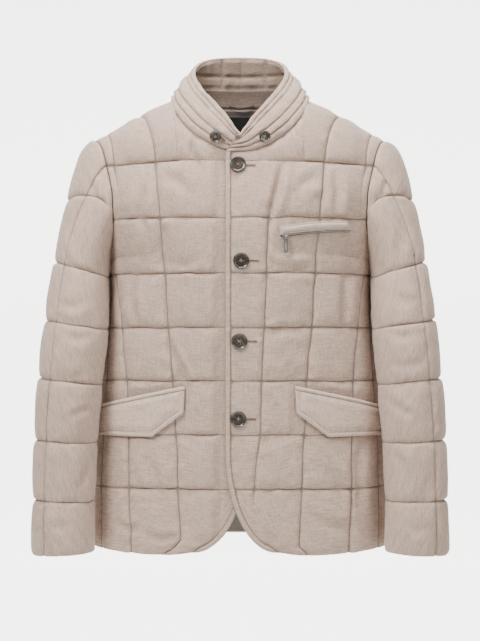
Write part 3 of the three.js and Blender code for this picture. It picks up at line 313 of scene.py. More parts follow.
def corner_at(side, row, inset):
    """The edge of a front at a row, or the line that far inside it."""
    x, rx = CORNER[side]
    straight = FRONT_ROWS.read("cz", np.maximum(row, 1))
    first = np.arcsin(np.clip((CORNER_Z - straight) / CORNER_RZ, 0, 1))
    angle = np.where(row >= 1, first, lerp(CORNER_END, first, row))
    inwards = unit(np.stack([np.cos(angle) / rx, np.sin(angle) / CORNER_RZ], -1))
    squared = (1 - smooth(0, 0.15, row))[..., None]
    inwards = unit(lerp(inwards, np.array([1.0, 0]), squared)) * inset
    z = CORNER_Z - CORNER_RZ * np.sin(angle) + inwards[..., 1]
    edge = np.maximum(x - rx * np.cos(angle), -OVERLAP[side])
    own_row = np.where(row >= 1, row, row_at(FRONT_ROWS, 0.05, z))
    straight_edge = row >= CORNER_ROW
    return (
        np.where(straight_edge, inset - OVERLAP[side], edge + inwards[..., 0]),
        np.where(straight_edge, row, own_row),
    )


def front_columns(side, row):
    """Where the eight columns of a front cross the rows: across, row and distance from the centre."""
    low = np.minimum(row, YOKE)
    edge, bound = corner_at(side, low, 0), corner_at(side, low, BINDING_WIDTH)
    first, second, third = (FRONT_LINES.read(name, low) for name in ("first", "second", "third"))
    middle, under = (first + second) / 2, row < 1
    first = np.where(under, lerp(bound[0] + 18, first, row), first)
    middle = np.where(under, lerp(first + 14, middle, row), middle)
    second = np.where(under, np.maximum(second, lerp(middle + 14, second, row)), second)
    xs = [edge[0], bound[0], first, middle, second, third]
    acrosses, rows = [], []
    for column, pull in enumerate(CORNER_PULL):
        pulled = lerp(low, edge[1] if column == 0 else bound[1], pull)
        if column < 5:
            across = across_at(FRONT_ROWS, xs[column], pulled)
        else:
            line = np.minimum(across_at(FRONT_ROWS, third, pulled), 0.92)
            across = [line, (line + 1) / 2, 0 * line + 1][column - 5]
        acrosses.append(across)
        rows.append(pulled)
    return np.array(acrosses), np.array(rows), np.array([xs[min(c, 5)] for c in range(8)])


def lap_lift(side, x):
    return LAP[side] * (1 - smooth(26, 52, x))


def front_grid(side, us, vs):
    """Points of a front on a grid of columns, 0 to 7, and rows, 0 at the hem to 8 at the shoulder."""
    acrosses, rows, xs = front_columns(side, vs)
    i = np.minimum(np.floor(us).astype(int), 6)
    f = (us - i)[:, None]
    across = lerp(acrosses[i], acrosses[i + 1], f)
    row = lerp(rows[i], rows[i + 1], f)
    high = np.flatnonzero(vs > YOKE)
    up = (vs[high] - YOKE)[None, :]
    neck = np.flatnonzero(i < 3)
    part = lerp(NECK_PARTS[i[neck]], NECK_PARTS[i[neck] + 1], us[neck] - i[neck])
    top_x, top_row = FRONT_NECK.read("x", part), YOKE + FRONT_NECK.read("yoke", part)
    if side == "right":
        top_x = top_x + (OVERLAP["left"] - OVERLAP["right"]) * (1 - smooth(0, 0.16, part))
    base = lerp(xs[i[neck]], xs[i[neck] + 1], f[neck])[:, high]
    height = YOKE + (top_row[:, None] - YOKE) * up
    across[np.ix_(neck, high)] = across_at(FRONT_ROWS, lerp(base, top_x[:, None], up), height)
    row[np.ix_(neck, high)] = height
    rest = np.flatnonzero(i >= 3)
    tops = np.concatenate([[across_at(FRONT_ROWS, NECK_POINT[0], YOKE + 1)], SEAM_TOPS])
    top = lerp(tops[i[rest] - 3], tops[i[rest] - 2], us[rest] - i[rest])
    across[np.ix_(rest, high)] = lerp(across[np.ix_(rest, high)], top[:, None], up)
    row[np.ix_(rest, high)] = np.broadcast_to(vs[high], (len(rest), len(high)))
    p = body_point(FRONT_ROWS, across, row)
    p[..., 1] -= lap_lift(side, p[..., 0])
    if side == "right":
        p[..., 0] *= -1
    return p


def back_grid(us, vs):
    """Points of the back on columns -5 to 5 and rows 0 to 8."""
    sign = np.where(us < 0, -1, 1)
    c = np.abs(us)
    i = np.minimum(np.floor(c).astype(int), 4)
    f = (c - i)[:, None]
    low = np.minimum(vs, YOKE)
    first = across_at(BACK_ROWS, BACK_LINES.read("first", low), low)
    second = across_at(BACK_ROWS, BACK_LINES.read("second", low), low)
    middle = (first + second) / 2 + 0.04
    acrosses = np.array([0 * first, first, middle, second, 0 * first + 0.8, 0 * first + 1])
    across = lerp(acrosses[i], acrosses[i + 1], f)
    row = np.broadcast_to(vs, across.shape).copy()
    high = np.flatnonzero(vs > YOKE)
    up = (vs[high] - YOKE)[None, :]
    neck = np.flatnonzero(i < 2)
    part = lerp(i[neck] * 0.5, i[neck] * 0.5 + 0.5, c[neck] - i[neck])
    top_x, top_row = BACK_NECK.read("x", part)[:, None], YOKE + BACK_NECK.read("yoke", part)[:, None]
    height = YOKE + (top_row - YOKE) * up
    base_x = body_point(BACK_ROWS, across[np.ix_(neck, high)][:, :1], YOKE)[..., 0]
    across[np.ix_(neck, high)] = across_at(BACK_ROWS, lerp(base_x, top_x, up), height)
    row[np.ix_(neck, high)] = height
    rest = np.flatnonzero(i >= 2)
    tops = np.array([float(across_at(BACK_ROWS, NECK_POINT[0], YOKE + 1)), 0.6, 0.85, 1])
    top = lerp(tops[i[rest] - 2], tops[i[rest] - 1], c[rest] - i[rest])[:, None]
    across[np.ix_(rest, high)] = lerp(across[np.ix_(rest, high)], top, up)
    return body_point(BACK_ROWS, sign[:, None] * across, row)


# %% [markdown]
# ### Sleeves
# A sleeve starts on the armhole that the panels leave and runs into a row of slightly flattened
# rings down to the cuff. Its angle is 0 on the outer side, 90 at the front, 180 on the inner side.

# %% Sleeves
SLEEVE_RINGS = Table(["cx", "cy", "cz", "across", "deep", "rise"], [
    (2, 248, -22, -260, 41, 62, 12), (3, 255, -46, -346, 47, 59, 7), (4, 263, -58, -434, 47, 56, 5),
    (5, 269, -66, -526, 46, 52, 2), (6, 272, -72, -617, 45, 48, 1), (7, 272, -76, -697, 46, 46, -2),
])
CUFF, HEAD, SLEEVE_GAP = 7, 2, 0.5


def armhole(rows):
    """The armhole's edge from the shoulder, 0, to the armpit, 1, by length."""
    tops = np.linspace(YOKE + 1, ARMPIT, 160)
    points = body_point(rows, 1, tops)
    lengths = np.concatenate([[0], np.cumsum(np.linalg.norm(np.diff(points, axis=0), axis=1))])
    return tops, points, lengths / lengths[-1]


ARMHOLES = {"front": armhole(FRONT_ROWS), "back": armhole(BACK_ROWS)}
OUTER_SEAM = 180 * float(np.interp(-YOKE, -ARMHOLES["front"][0], ARMHOLES["front"][2]))


def armhole_start(degrees):
    """Where the sleeve starts at each angle."""
    around = np.mod(degrees, 360.0001)
    starts = np.zeros((len(degrees), 3))
    for name, rows in (("front", FRONT_ROWS), ("back", BACK_ROWS)):
        tops, points, shares = ARMHOLES[name]
        share = around / 180 if name == "front" else (360 - around) / 180
        at = lambda s: np.stack([np.interp(np.clip(s, 0, 1), shares, points[:, k]) for k in range(3)], -1)
        p = at(share)
        along = unit(at(np.minimum(share + 0.02, 1)) - at(np.maximum(share - 0.02, 0)))
        row = np.interp(np.clip(share, 0, 1), shares, tops)
        inside = unit(body_point(rows, 0.97, row) - p)
        normal = unit(np.cross(along, inside))
        normal = np.where(normal[:, :1] < 0, -normal, normal)
        out = -unit(inside - along * np.sum(inside * along, -1, keepdims=True))
        chosen = around <= 180 if name == "front" else around > 180
        starts[chosen] = (p + (out + normal) * SLEEVE_GAP * math.sqrt(0.5))[chosen]
    return starts


def sleeve_ring(degrees, ring):
    read = {name: SLEEVE_RINGS.read(name, ring) for name in ("cx", "cy", "cz", "across", "deep", "rise")}
    a = np.radians(degrees)
    c, s = (np.sign(v) * np.abs(v) ** 0.92 for v in (np.cos(a), np.sin(a)))
    return np.stack([
        read["cx"] + read["across"] * c, read["cy"] - read["deep"] * s, read["cz"] + read["rise"] * c,
    ], -1)


def head_line(degrees):
    """How far down the sleeve head the first stitched ring lies."""
    return 0.06 + 0.52 * np.clip((np.cos(np.radians(degrees)) + 0.4) / 1.4, 0, 1)


def sleeve_grid(side, degrees, rings):
    """Points of a sleeve on a grid of angles and rings, 0 at the armhole to 7 at the cuff."""
    around, ring = np.meshgrid(degrees, rings, indexing="ij")
    lower = sleeve_ring(around, np.maximum(ring, HEAD))
    line = head_line(around)
    s = np.where(ring < 1, line * ring, lerp(line, 1, np.minimum(ring, HEAD) - 1))[..., None]
    a = np.radians(degrees)
    start, end = armhole_start(degrees), sleeve_ring(degrees, 0 * degrees + HEAD)
    length = np.linalg.norm(end - start, axis=-1, keepdims=True)
    leave = np.stack([0.62 + 0.18 * np.cos(a), -0.35 * np.sin(a), -0.55 + 0.1 * np.cos(a)], -1)
    under = smooth(0.3, 0.95, -np.cos(a))[:, None]
    leave = unit(lerp(leave, np.array([0.25, 0, -0.97]), under)) * length * 0.45
    arrive = unit(sleeve_ring(degrees, 0 * degrees + HEAD + 0.2) - end) * length * 1.05
    upper = (
        (2 * s**3 - 3 * s**2 + 1) * start[:, None] + (s**3 - 2 * s**2 + s) * leave[:, None]
        + (3 * s**2 - 2 * s**3) * end[:, None] + (s**3 - s**2) * arrive[:, None]
    )
    p = np.where((ring >= HEAD)[..., None], lower, upper)
    if side == "right":
        p[..., 0] *= -1
    return p


# %% [markdown]
# ### Collar
# The collar stands on the neckline and leans in to its top edge. It runs from the right front end
# round the back of the neck to the left front end, which lies over the other.

# %% Collar
COLLAR_STATIONS = Table(["neck", "x", "y", "z"], [
    (0, 0, -1, -105, -57), (0.08, 0.16, 2, -103, -52), (0.17, 0.28, 10, -98, -40),
    (0.28, 0.41, 22, -88, -22), (0.39, 0.55, 39, -70, -1), (0.51, 0.78, 60, -38, 26),
    (0.63, 1, 74, 10, 55), (0.75, 1.16, 68, 44, 76), (0.86, 1.45, 42, 63, 86), (1, 2, 0, 72, 89),
])
COLLAR_LINES = [0.24, 0.47, 0.79, 0.9]
COLLAR_WALL, COLLAR_PUFF, COLLAR_BELLY, COLLAR_OVERLAP, FOOT_LIFT = 4, 5, 7, 12, 0.15


def neck_point(neck, side):
    """The neckline: 0 at the front edge, 1 at the neck point, 2 at the centre back."""
    part = np.where(neck > 1, 2 - neck, neck)
    fx, frow = FRONT_NECK.read("x", part), YOKE + FRONT_NECK.read("yoke", part)
    if side == "right":
        fx = fx + (OVERLAP["left"] - OVERLAP["right"]) * (1 - smooth(0, 0.16, part))
    front = body_point(FRONT_ROWS, across_at(FRONT_ROWS, fx, frow), frow)
    front[..., 1] -= lap_lift(side, front[..., 0])
    bx, brow = BACK_NECK.read("x", part), YOKE + BACK_NECK.read("yoke", part)
    back = body_point(BACK_ROWS, across_at(BACK_ROWS, bx, brow), brow)
    return np.where((neck > 1)[..., None], back, front)


def collar_grid(alongs, ups):
    halves = []
    for side in ("right", "left"):
        own = alongs[alongs < 0] if side == "right" else alongs[alongs >= 0]
        at = 1 - np.minimum(np.abs(own), 1)
        base = neck_point(np.clip(COLLAR_STATIONS.read("neck", at), 0, 2), side)
        top = np.stack([COLLAR_STATIONS.read(name, at) for name in "xyz"], -1)
        top[:, 1] -= (1 - smooth(0, 0.2, at)) * LAP[side]
        if side == "right":
            top[:, 0] -= (COLLAR_OVERLAP - 4) * (1 - smooth(0, 0.12, at))
        away = unit(np.stack([base[:, 0] + top[:, 0], base[:, 1] + top[:, 1] - 10, 0 * at], -1))
        up = ups[None, :, None]
        p = lerp(base[:, None], top[:, None], up)
        p = p + away[:, None] * COLLAR_BELLY * np.sin(np.pi * up**0.8) * smooth(0, 0.25, at)[:, None, None]
        p[..., 2] += FOOT_LIFT * (1 - ups)
        if side == "right":
            p[..., 0] *= -1
        halves.append(p)
    return np.concatenate(halves)


# %% [markdown]
# ## Padding
# Between two rows of stitches the padding lifts the cloth; at the stitches it is pulled flat. The
# cloth is fuller on one side of a stitch line than it can lie flat, so it gathers there in short
# uneven puckers that fade out towards the middle of the cell. Gravity makes each cell a little
# fuller at its foot. A cloth simulation can give this too, but slowly and with little say over
# where folds fall. Here the height of the cloth over its stitch lines is worked out directly.

# %% Noise and padding
def noise(x, y, seed):
    """Smooth noise from -1 to 1 on any plane."""
    values = np.random.default_rng(seed).uniform(-1, 1, (64, 64))
    i, j = np.floor(x).astype(int), np.floor(y).astype(int)
    f, g = x - i, y - j
    f, g = f * f * (3 - 2 * f), g * g * (3 - 2 * g)
    i, j, i1, j1 = i % 64, j % 64, (i + 1) % 64, (j + 1) % 64
    return lerp(lerp(values[i, j], values[i1, j], f), lerp(values[i, j1], values[i1, j1], f), g)


def running(p, axis):
    """The length run along one way of a grid, at each of its points."""
    steps = np.linalg.norm(np.diff(p, axis=axis), axis=-1)
    start = np.zeros_like(np.take(steps, [0], axis=axis))
    return np.concatenate([start, np.cumsum(steps, axis=axis)], axis=axis)


def normals_of(p, centre):
    """Normals of a grid, turned away from centre, which has a point for each point of the grid."""
    n = unit(np.cross(np.gradient(p, axis=0), np.gradient(p, axis=1)))
    return n if float(np.sum(n * (p - centre))) > 0 else -n


def pucker(distance, along, seed):
    """Short ripples that start at a stitch line and fade within a few centimetres."""
    far = np.abs(distance)
    side = np.where(distance > 0, 37.0, 0.0)
    ripple = noise(along / 8.5 + side, far / 26, seed) + 0.6 * noise(along / 4.3 + side, far / 14, seed + 1)
    long_ripple = noise(along / 15 + side, far / 60, seed + 2)
    near = ripple * (far / 3.5) * np.exp(1 - far / 3.5) * 0.55
    return near + long_ripple * (far / 8) * np.exp(1 - far / 8) * 0.6


GROOVE_DEPTH, RIPPLE_HEIGHT, LOWEST = 0.9, 1.7, -1.3


def dip(distance, rise):
    """How far the cloth is down beside a stitch line: it turns over sharply, then fills out slowly."""
    sharp = np.exp(-((distance / (0.32 * rise)) ** 1.3))
    return 0.6 * sharp + 0.4 * np.exp(-((distance / (1.5 * rise)) ** 1.6))


def quilt(p, us, vs, u_lines, v_lines, puff, seed, ripple=1.0, rise=11):
    """Heights of the padded cloth over grid p. Lines are (grid value, depth) with a depth of 0 to 1."""
    lu, lv = running(p, 0), running(p, 1)
    share, ripples = np.ones(lu.shape), np.zeros(lu.shape)
    for k, (at, depth) in enumerate(u_lines):
        i = int(np.argmin(np.abs(us - at)))
        depth = np.broadcast_to(depth, vs.shape)[None, :]
        distance = lu - lu[i][None, :]
        share *= 1 - depth * dip(np.abs(distance), rise)
        ripples += depth * pucker(distance, lv[i][None, :] + 0 * distance, seed + 10 * k)
    for k, (at, depth) in enumerate(v_lines):
        j = int(np.argmin(np.abs(vs - at)))
        depth = np.broadcast_to(depth, us.shape)[:, None]
        distance = lv - lv[:, j][:, None]
        own_rise = np.where(distance > 0, rise * 0.8, rise * 1.2)
        share *= 1 - depth * dip(np.abs(distance), own_rise)
        ripples += depth * pucker(distance, lu[:, j][:, None] + 0 * distance, seed + 500 + 10 * k)
    uneven = 1 + 0.16 * noise(lu / 70, lv / 60, seed + 3) + 0.08 * noise(lu / 28, lv / 25, seed + 4)
    padded = np.minimum(puff / 5, 1)
    full = puff * share * uneven - GROOVE_DEPTH * padded * (1 - share) ** 6
    return full + RIPPLE_HEIGHT * ripples * ripple * padded * (0.25 + 0.75 * smooth(0, 0.35, share)), share


def crease(p, points, width, depth, keep=(0, 2)):
    """The height of a soft crease along a line of points, seen in the plane of two axes."""
    q = p[..., list(keep)]
    points = np.asarray(points, float)
    lengths = np.concatenate([[0], np.cumsum(np.linalg.norm(np.diff(points, axis=0), axis=1))])
    best = np.full(q.shape[:-1], 1e9)
    where, signed = np.zeros(best.shape), np.zeros(best.shape)
    for a, b, start in zip(points[:-1], points[1:], lengths):
        run = b - a
        t = np.clip(((q - a) @ run) / (run @ run), 0, 1)
        off = q - a - t[..., None] * run
        far = np.linalg.norm(off, axis=-1)
        nearer = far < best
        best = np.where(nearer, far, best)
        where = np.where(nearer, (start + t * np.linalg.norm(run)) / lengths[-1], where)
        signed = np.where(nearer, np.sign(run[0] * off[..., 1] - run[1] * off[..., 0]), signed)
    fade = np.sin(np.pi * np.clip(where, 0.02, 0.98)) ** 0.7
    across = best * signed / width
    trough = np.exp(-(across**2))
    ridge = 0.55 * np.exp(-((across - 1.7) ** 2) / 1.3) + 0.3 * np.exp(-((across + 1.9) ** 2) / 1.6)
    return depth * fade * (ridge - trough)


def spaced(lines, lengths, step, near=0.55):
    """Grid values between stitch lines, closer together beside each line."""
    values = []
    for a, b, length in zip(lines[:-1], lines[1:], lengths):
        count = max(2, int(round(length / step)))
        t = np.arange(count) / count
        values += list(a + (b - a) * (t - near * np.sin(2 * np.pi * t) / (2 * np.pi)))
    return np.array(values + [lines[-1]])


# %% [markdown]
# ## Meshes
# Each panel is a closed wall: the quilted outer side, a rim, and the lining inside. An open edge
# such as the hem has a rounded rim, as folded cloth has. A seam's rim is square and stands a hair
# from the next panel. The texture coordinates run in metres along the cloth, so that the weave
# keeps its size and follows each panel's grain.

# %% Mesh builders
def finish_mesh(name, points, faces, uvs, slots, materials, body="jacket", quilted=None):
    """A mesh object from points in millimetres, with smooth faces that look outwards."""
    mesh = bpy.data.meshes.new(name)
    points = np.asarray(points, float) / 1000
    mesh.from_pydata(points.tolist(), [], faces)
    mesh.polygons.foreach_set("use_smooth", [True] * len(faces))
    mesh.polygons.foreach_set("material_index", np.asarray(slots, np.int32))
    corner = np.zeros(len(mesh.loops), np.int32)
    mesh.loops.foreach_get("vertex_index", corner)
    layer = mesh.uv_layers.new(name="cloth")
    layer.data.foreach_set("uv", (np.asarray(uvs, float)[corner] / 1000).ravel())
    attribute = mesh.attributes.new("quilted", "FLOAT", "POINT")
    full = np.ones(len(points)) if quilted is None else quilted
    attribute.data.foreach_set("value", np.asarray(full, np.float32))
    for material in materials:
        mesh.materials.append(material)
    made = bpy.data.objects.new(name, mesh)
    bpy.context.collection.objects.link(made)
    turn_outwards(mesh)
    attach(made, body)
    return made


def turn_outwards(mesh):
    mesh.calc_loop_triangles()
    p, t = np.zeros(len(mesh.vertices) * 3), np.zeros(len(mesh.loop_triangles) * 3, np.int32)
    mesh.vertices.foreach_get("co", p)
    mesh.loop_triangles.foreach_get("vertices", t)
    a, b, c = (p.reshape(-1, 3)[t.reshape(-1, 3)[:, k]] for k in range(3))
    if float(np.sum(a * np.cross(b, c))) < 0:
        mesh.flip_normals()
    mesh.update()


def thinned(count, step):
    """Indices of a coarser grid inside a fine one, one step in from its rim."""
    inner = list(range(step, count - step, step))
    if len(inner) > 1 and count - 1 - inner[-1] < 0.6 * step:
        inner.pop()
    return inner if len(inner) > 1 else [1, count - 2]


def wall(name, outer, inner, materials, step=4, rounded=(0, 0, 0, 0), share=None, body="jacket"):
    """A closed wall between two grids of one size; the inner one is thinned out. rounded says how
    far the rim bulges at the first and last column and the first and last row, as a share."""
    n, m = outer.shape[:2]
    lu, lv = running(outer, 0), running(outer, 1)
    uv = np.stack([lu + np.linspace(0, 1, m)[None, :] * 0, lv], -1)
    ring = [(i, 0) for i in range(n - 1)] + [(n - 1, j) for j in range(m - 1)]
    ring += [(i, m - 1) for i in range(n - 1, 0, -1)] + [(0, j) for j in range(m - 1, 0, -1)]
    ri, rj = np.array(ring).T
    top, bottom = outer[ri, rj], inner[ri, rj]
    centre_i, centre_j = np.clip(ri, 2, n - 3), np.clip(rj, 2, m - 3)
    out = unit(outer[ri, rj] - outer[centre_i, centre_j])
    bulge = np.zeros(len(ring))
    for on, value in zip((ri == 0, ri == n - 1, rj == 0, rj == m - 1), rounded):
        bulge = np.maximum(bulge, np.where(on, value, 0))
    thick = np.linalg.norm(top - bottom, axis=1, keepdims=True)
    loops = [
        lerp(top, bottom, t) + out * thick * bulge[:, None] * rise
        for t, rise in ((0.12, 0.28), (0.35, 0.5), (0.65, 0.5), (0.88, 0.28), (1, 0))
    ] if bulge.any() else [bottom]
    keep_i, keep_j = thinned(n, step), thinned(m, step)
    coarse = inner[np.ix_(keep_i, keep_j)]
    points = [outer.reshape(-1, 3)] + loops + [coarse.reshape(-1, 3)]
    uvs = [uv.reshape(-1, 2)] + [uv[ri, rj] + 0.0] * len(loops) + [uv[np.ix_(keep_i, keep_j)].reshape(-1, 2)]
    index = np.arange(n * m).reshape(n, m)
    quads = np.stack([index[:-1, :-1], index[1:, :-1], index[1:, 1:], index[:-1, 1:]], -1).reshape(-1, 4)
    faces, slots = quads.tolist(), [0] * len(quads)
    previous, start, count = index[ri, rj], n * m, len(ring)
    for _ in loops:
        current = np.arange(start, start + count)
        after = np.roll(current, -1)
        strip = np.stack([previous, current, after, np.roll(previous, -1)], -1)
        faces += strip.tolist()
        slots += [0] * count
        previous, start = current, start + count
    at = {cell: int(vertex) for cell, vertex in zip(ring, previous)}
    grid = np.arange(start, start + coarse.shape[0] * coarse.shape[1]).reshape(coarse.shape[:2])
    last = len(materials) - 1
    quads = np.stack([grid[:-1, :-1], grid[:-1, 1:], grid[1:, 1:], grid[1:, :-1]], -1).reshape(-1, 4)
    faces += quads.tolist()
    slots += [last] * len(quads)
    sides = [
        ([at[(i, 0)] for i in range(n)], list(range(n)), grid[:, 0], keep_i),
        ([at[(n - 1, j)] for j in range(m)], list(range(m)), grid[-1, :], keep_j),
        ([at[(i, m - 1)] for i in range(n - 1, -1, -1)], [n - 1 - i for i in range(n - 1, -1, -1)],
         grid[::-1, -1], [n - 1 - i for i in keep_i[::-1]]),
        ([at[(0, j)] for j in range(m - 1, -1, -1)], [m - 1 - j for j in range(m - 1, -1, -1)],
         grid[0, ::-1], [m - 1 - j for j in keep_j[::-1]]),
    ]
    for fine, fine_at, rough, rough_at in sides:
        i = j = 0
        while i < len(fine) - 1 or j < len(rough) - 1:
            middle = (rough_at[j] + rough_at[j + 1]) / 2 if j < len(rough) - 1 else 1e9
            if i == len(fine) - 1 or fine_at[i] >= middle:
                faces.append((int(fine[i]), int(rough[j]), int(rough[j + 1])))
                j += 1
            else:
                faces.append((int(fine[i]), int(rough[j]), int(fine[i + 1])))
                i += 1
            slots.append(last)
    quilted = None
    if share is not None:
        rim, behind = np.tile(share[ri, rj], len(loops)), share[np.ix_(keep_i, keep_j)]
        quilted = np.concatenate([share.ravel(), rim, behind.ravel()])
    points, uvs = np.concatenate(points), np.concatenate(uvs)
    made = finish_mesh(name, points, faces, uvs, slots, materials, body, quilted)
    print(name, "triangles", sum(len(f) - 2 for f in faces))
    return made


def area_of(p):
    """The area of a grid in square metres."""
    a, b = p[1:, 1:] - p[:-1, :-1], p[1:, :-1] - p[:-1, 1:]
    return float(np.linalg.norm(np.cross(a, b), axis=-1).sum() / 2) / 1e6


def trim_rim(p, us_gap=0.25, vs_gap=0.25):
    """Pulls the rim of a grid in a little, so that panels end just short of their seam."""
    p = p.copy()
    for line, inner in ((0, 1), (-1, -2)):
        p[line] += unit(p[inner] - p[line]) * us_gap
        p[:, line] += unit(p[:, inner] - p[:, line]) * vs_gap
    return p


# %% [markdown]
# ## Materials
# The shell is a soft heathered wool cloth: pale and dark fibres are spun together, so that it is
# mottled at the size of a yarn and slightly cloudy over a hand's width. A photograph of cloth
# could be laid on it; here noise at three sizes is mixed instead, so that the cloth can be seen
# from any distance. A fine twill and loose fibres are raised by bump, and a little sheen stands
# for the fuzz that catches the light at grazing angles.
# The wool comes in four shades: the quilted shell; a paler copy for the flat flaps and the welt,
# which is painted light; a darker copy inside the collar, which is painted shade; and the darker
# facing of the collar's foot. The sewing thread is spun of the same fibres. The bottom of the grooves
# is darkened with painted shade: the "quilted" value that each mesh carries darkens the colour there.

# %% Node helpers
def add_node(tree, kind, settings=None, **inputs):
    made = tree.nodes.new(kind)
    for name, value in (settings or {}).items():
        setattr(made, name, value)
    for name, value in inputs.items():
        socket = made.inputs[int(name[1:])] if name[0] == "i" and name[1:].isdigit() else made.inputs[name]
        if isinstance(value, bpy.types.NodeSocket):
            tree.links.new(value, socket)
        else:
            socket.default_value = value
    return made


def calculate(tree, operation, a, b=0.0):
    return add_node(tree, "ShaderNodeMath", {"operation": operation}, i0=a, i1=b).outputs[0]


def mix_colours(tree, factor, a, b, blend="MIX"):
    made = add_node(tree, "ShaderNodeMix", {"data_type": "RGBA", "blend_type": blend})
    for socket, value in ((made.inputs[0], factor), (made.inputs[6], a), (made.inputs[7], b)):
        if isinstance(value, bpy.types.NodeSocket):
            tree.links.new(value, socket)
        else:
            socket.default_value = value
    return made.outputs[2]


def stretched(tree, across, along, turn=0.0):
    """The cloth's own coordinates, stretched for one texture."""
    uv = add_node(tree, "ShaderNodeUVMap", {"uv_map": "cloth"}).outputs[0]
    mapping = add_node(tree, "ShaderNodeMapping", Vector=uv, Scale=(across, along, 1), Rotation=(0, 0, turn))
    return mapping.outputs[0]


def noise_texture(tree, vector, scale, detail=2.0, roughness=0.5):
    made = add_node(
        tree, "ShaderNodeTexNoise", Vector=vector, Scale=scale, Detail=detail, Roughness=roughness,
    )
    return made.outputs["Fac"]


def scaled(tree, value, factor, offset=0.0):
    """value times factor, plus offset."""
    larger = calculate(tree, "MULTIPLY", value, factor)
    return calculate(tree, "ADD", larger, offset) if offset else larger


def spread_out(tree, value, low, high):
    made = add_node(tree, "ShaderNodeMapRange", i0=value, i1=low, i2=high)
    return made.outputs[0]


# %% Shell cloth
def wool(name, dark, middle, pale, mottled=1.0, sheen=0.25, seam_shade=0.1):
    material, shader = new_material(name)
    tree = material.node_tree
    fine = noise_texture(tree, stretched(tree, 1, 0.45), 1150, 3, 0.6)
    crossed = noise_texture(tree, stretched(tree, 0.4, 1), 1300, 3, 0.6)
    speckle = calculate(tree, "MULTIPLY", calculate(tree, "ADD", fine, crossed), 0.5)
    blot = noise_texture(tree, stretched(tree, 1, 0.6), 300, 2, 0.6)
    cloud = noise_texture(tree, stretched(tree, 1, 1), 14, 2, 0.5)
    ramp = add_node(tree, "ShaderNodeValToRGB", Fac=spread_out(tree, speckle, 0.36, 0.64))
    ramp.color_ramp.elements[0].color = linear(*dark)
    ramp.color_ramp.elements[1].color = linear(*pale)
    ramp.color_ramp.elements.new(0.5).color = linear(*middle)
    colour = ramp.outputs[0]
    patchy = calculate(tree, "MULTIPLY", spread_out(tree, blot, 0.35, 0.65), 0.13 * mottled)
    colour = mix_colours(tree, patchy, colour, linear(*dark))
    cloudy = calculate(tree, "MULTIPLY", spread_out(tree, cloud, 0.35, 0.7), 0.1 * mottled)
    colour = mix_colours(tree, cloudy, colour, linear(*pale))
    for u, v, scale in ((1, 0.13, 470), (0.13, 1, 430)):
        slub = spread_out(tree, noise_texture(tree, stretched(tree, u, v), scale, 2, 0.55), 0.42, 0.72)
        colour = mix_colours(tree, calculate(tree, "MULTIPLY", slub, 0.4 * mottled), colour, linear(*pale))
        slub = spread_out(tree, noise_texture(tree, stretched(tree, u, v), scale * 0.8, 2, 0.55), 0.54, 0.3)
        colour = mix_colours(tree, calculate(tree, "MULTIPLY", slub, 0.3 * mottled), colour, linear(*dark))
    # Painted shade: the colour turns darker beside the stitch lines, at the bottom of the grooves.
    if seam_shade:
        lifted = add_node(tree, "ShaderNodeAttribute", {"attribute_name": "quilted"}).outputs["Fac"]
        groove_shade = calculate(tree, "MULTIPLY", spread_out(tree, lifted, 0.17, 0.0), seam_shade)
        colour = mix_colours(tree, groove_shade, colour, linear(*[c * 0.5 for c in dark]))
    tree.links.new(colour, shader.inputs["Base Color"])
    twill = add_node(
        tree, "ShaderNodeTexWave", {"wave_type": "BANDS", "bands_direction": "X"},
        Vector=stretched(tree, 1, 1, 0.9), Scale=190.0, Distortion=2.2, Detail=2.0, i4=2.0,
    ).outputs["Fac"]
    height = calculate(tree, "ADD", calculate(tree, "MULTIPLY", twill, 0.35), speckle)
    height = calculate(tree, "ADD", height, calculate(tree, "MULTIPLY", blot, 0.8))
    bump = add_node(tree, "ShaderNodeBump", Strength=0.55, Distance=0.0006, Height=height)
    tree.links.new(bump.outputs[0], shader.inputs["Normal"])
    rough = spread_out(tree, speckle, 0.2, 0.8)
    tree.links.new(scaled(tree, rough, 0.1, 0.84), shader.inputs["Roughness"])
    shader.inputs["Specular IOR Level"].default_value = 0.25
    shader.inputs["Sheen Weight"].default_value = sheen
    shader.inputs["Sheen Roughness"].default_value = 0.5
    shader.inputs["Sheen Tint"].default_value = (0.93, 0.9, 0.87, 1)
    return material


SHELL = wool("heathered_wool", (120, 98, 84), (166, 141, 125), (198, 176, 160), sheen=0.15, seam_shade=0.68)
# A paler copy of the shell: painted light for the flat flaps, their bands and the welt.
PAINTED_LIGHT_WOOL = wool("wool_painted_lighter", (134, 112, 98), (182, 158, 142), (214, 193, 178), sheen=0.15, seam_shade=0)
# A darker copy of the shell: painted shade for the cloth inside the collar.
SHADED = wool("wool_inside_collar_painted_shade", (98, 80, 68), (136, 115, 101), (166, 145, 130), sheen=0.1, seam_shade=0)
BAND = wool("collar_lining", (52, 42, 36), (76, 63, 55), (98, 83, 74), sheen=0.08, seam_shade=0)
THREAD = wool("sewing_thread", (104, 86, 74), (134, 113, 100), (160, 138, 124), 0.5, 0.1, 0)

# %% [markdown]
# The lining is a smooth woven satin, darker and browner than the shell, with fine ribs that run
# down the back. It shows inside the neck and, from below, inside the hem and cuffs.

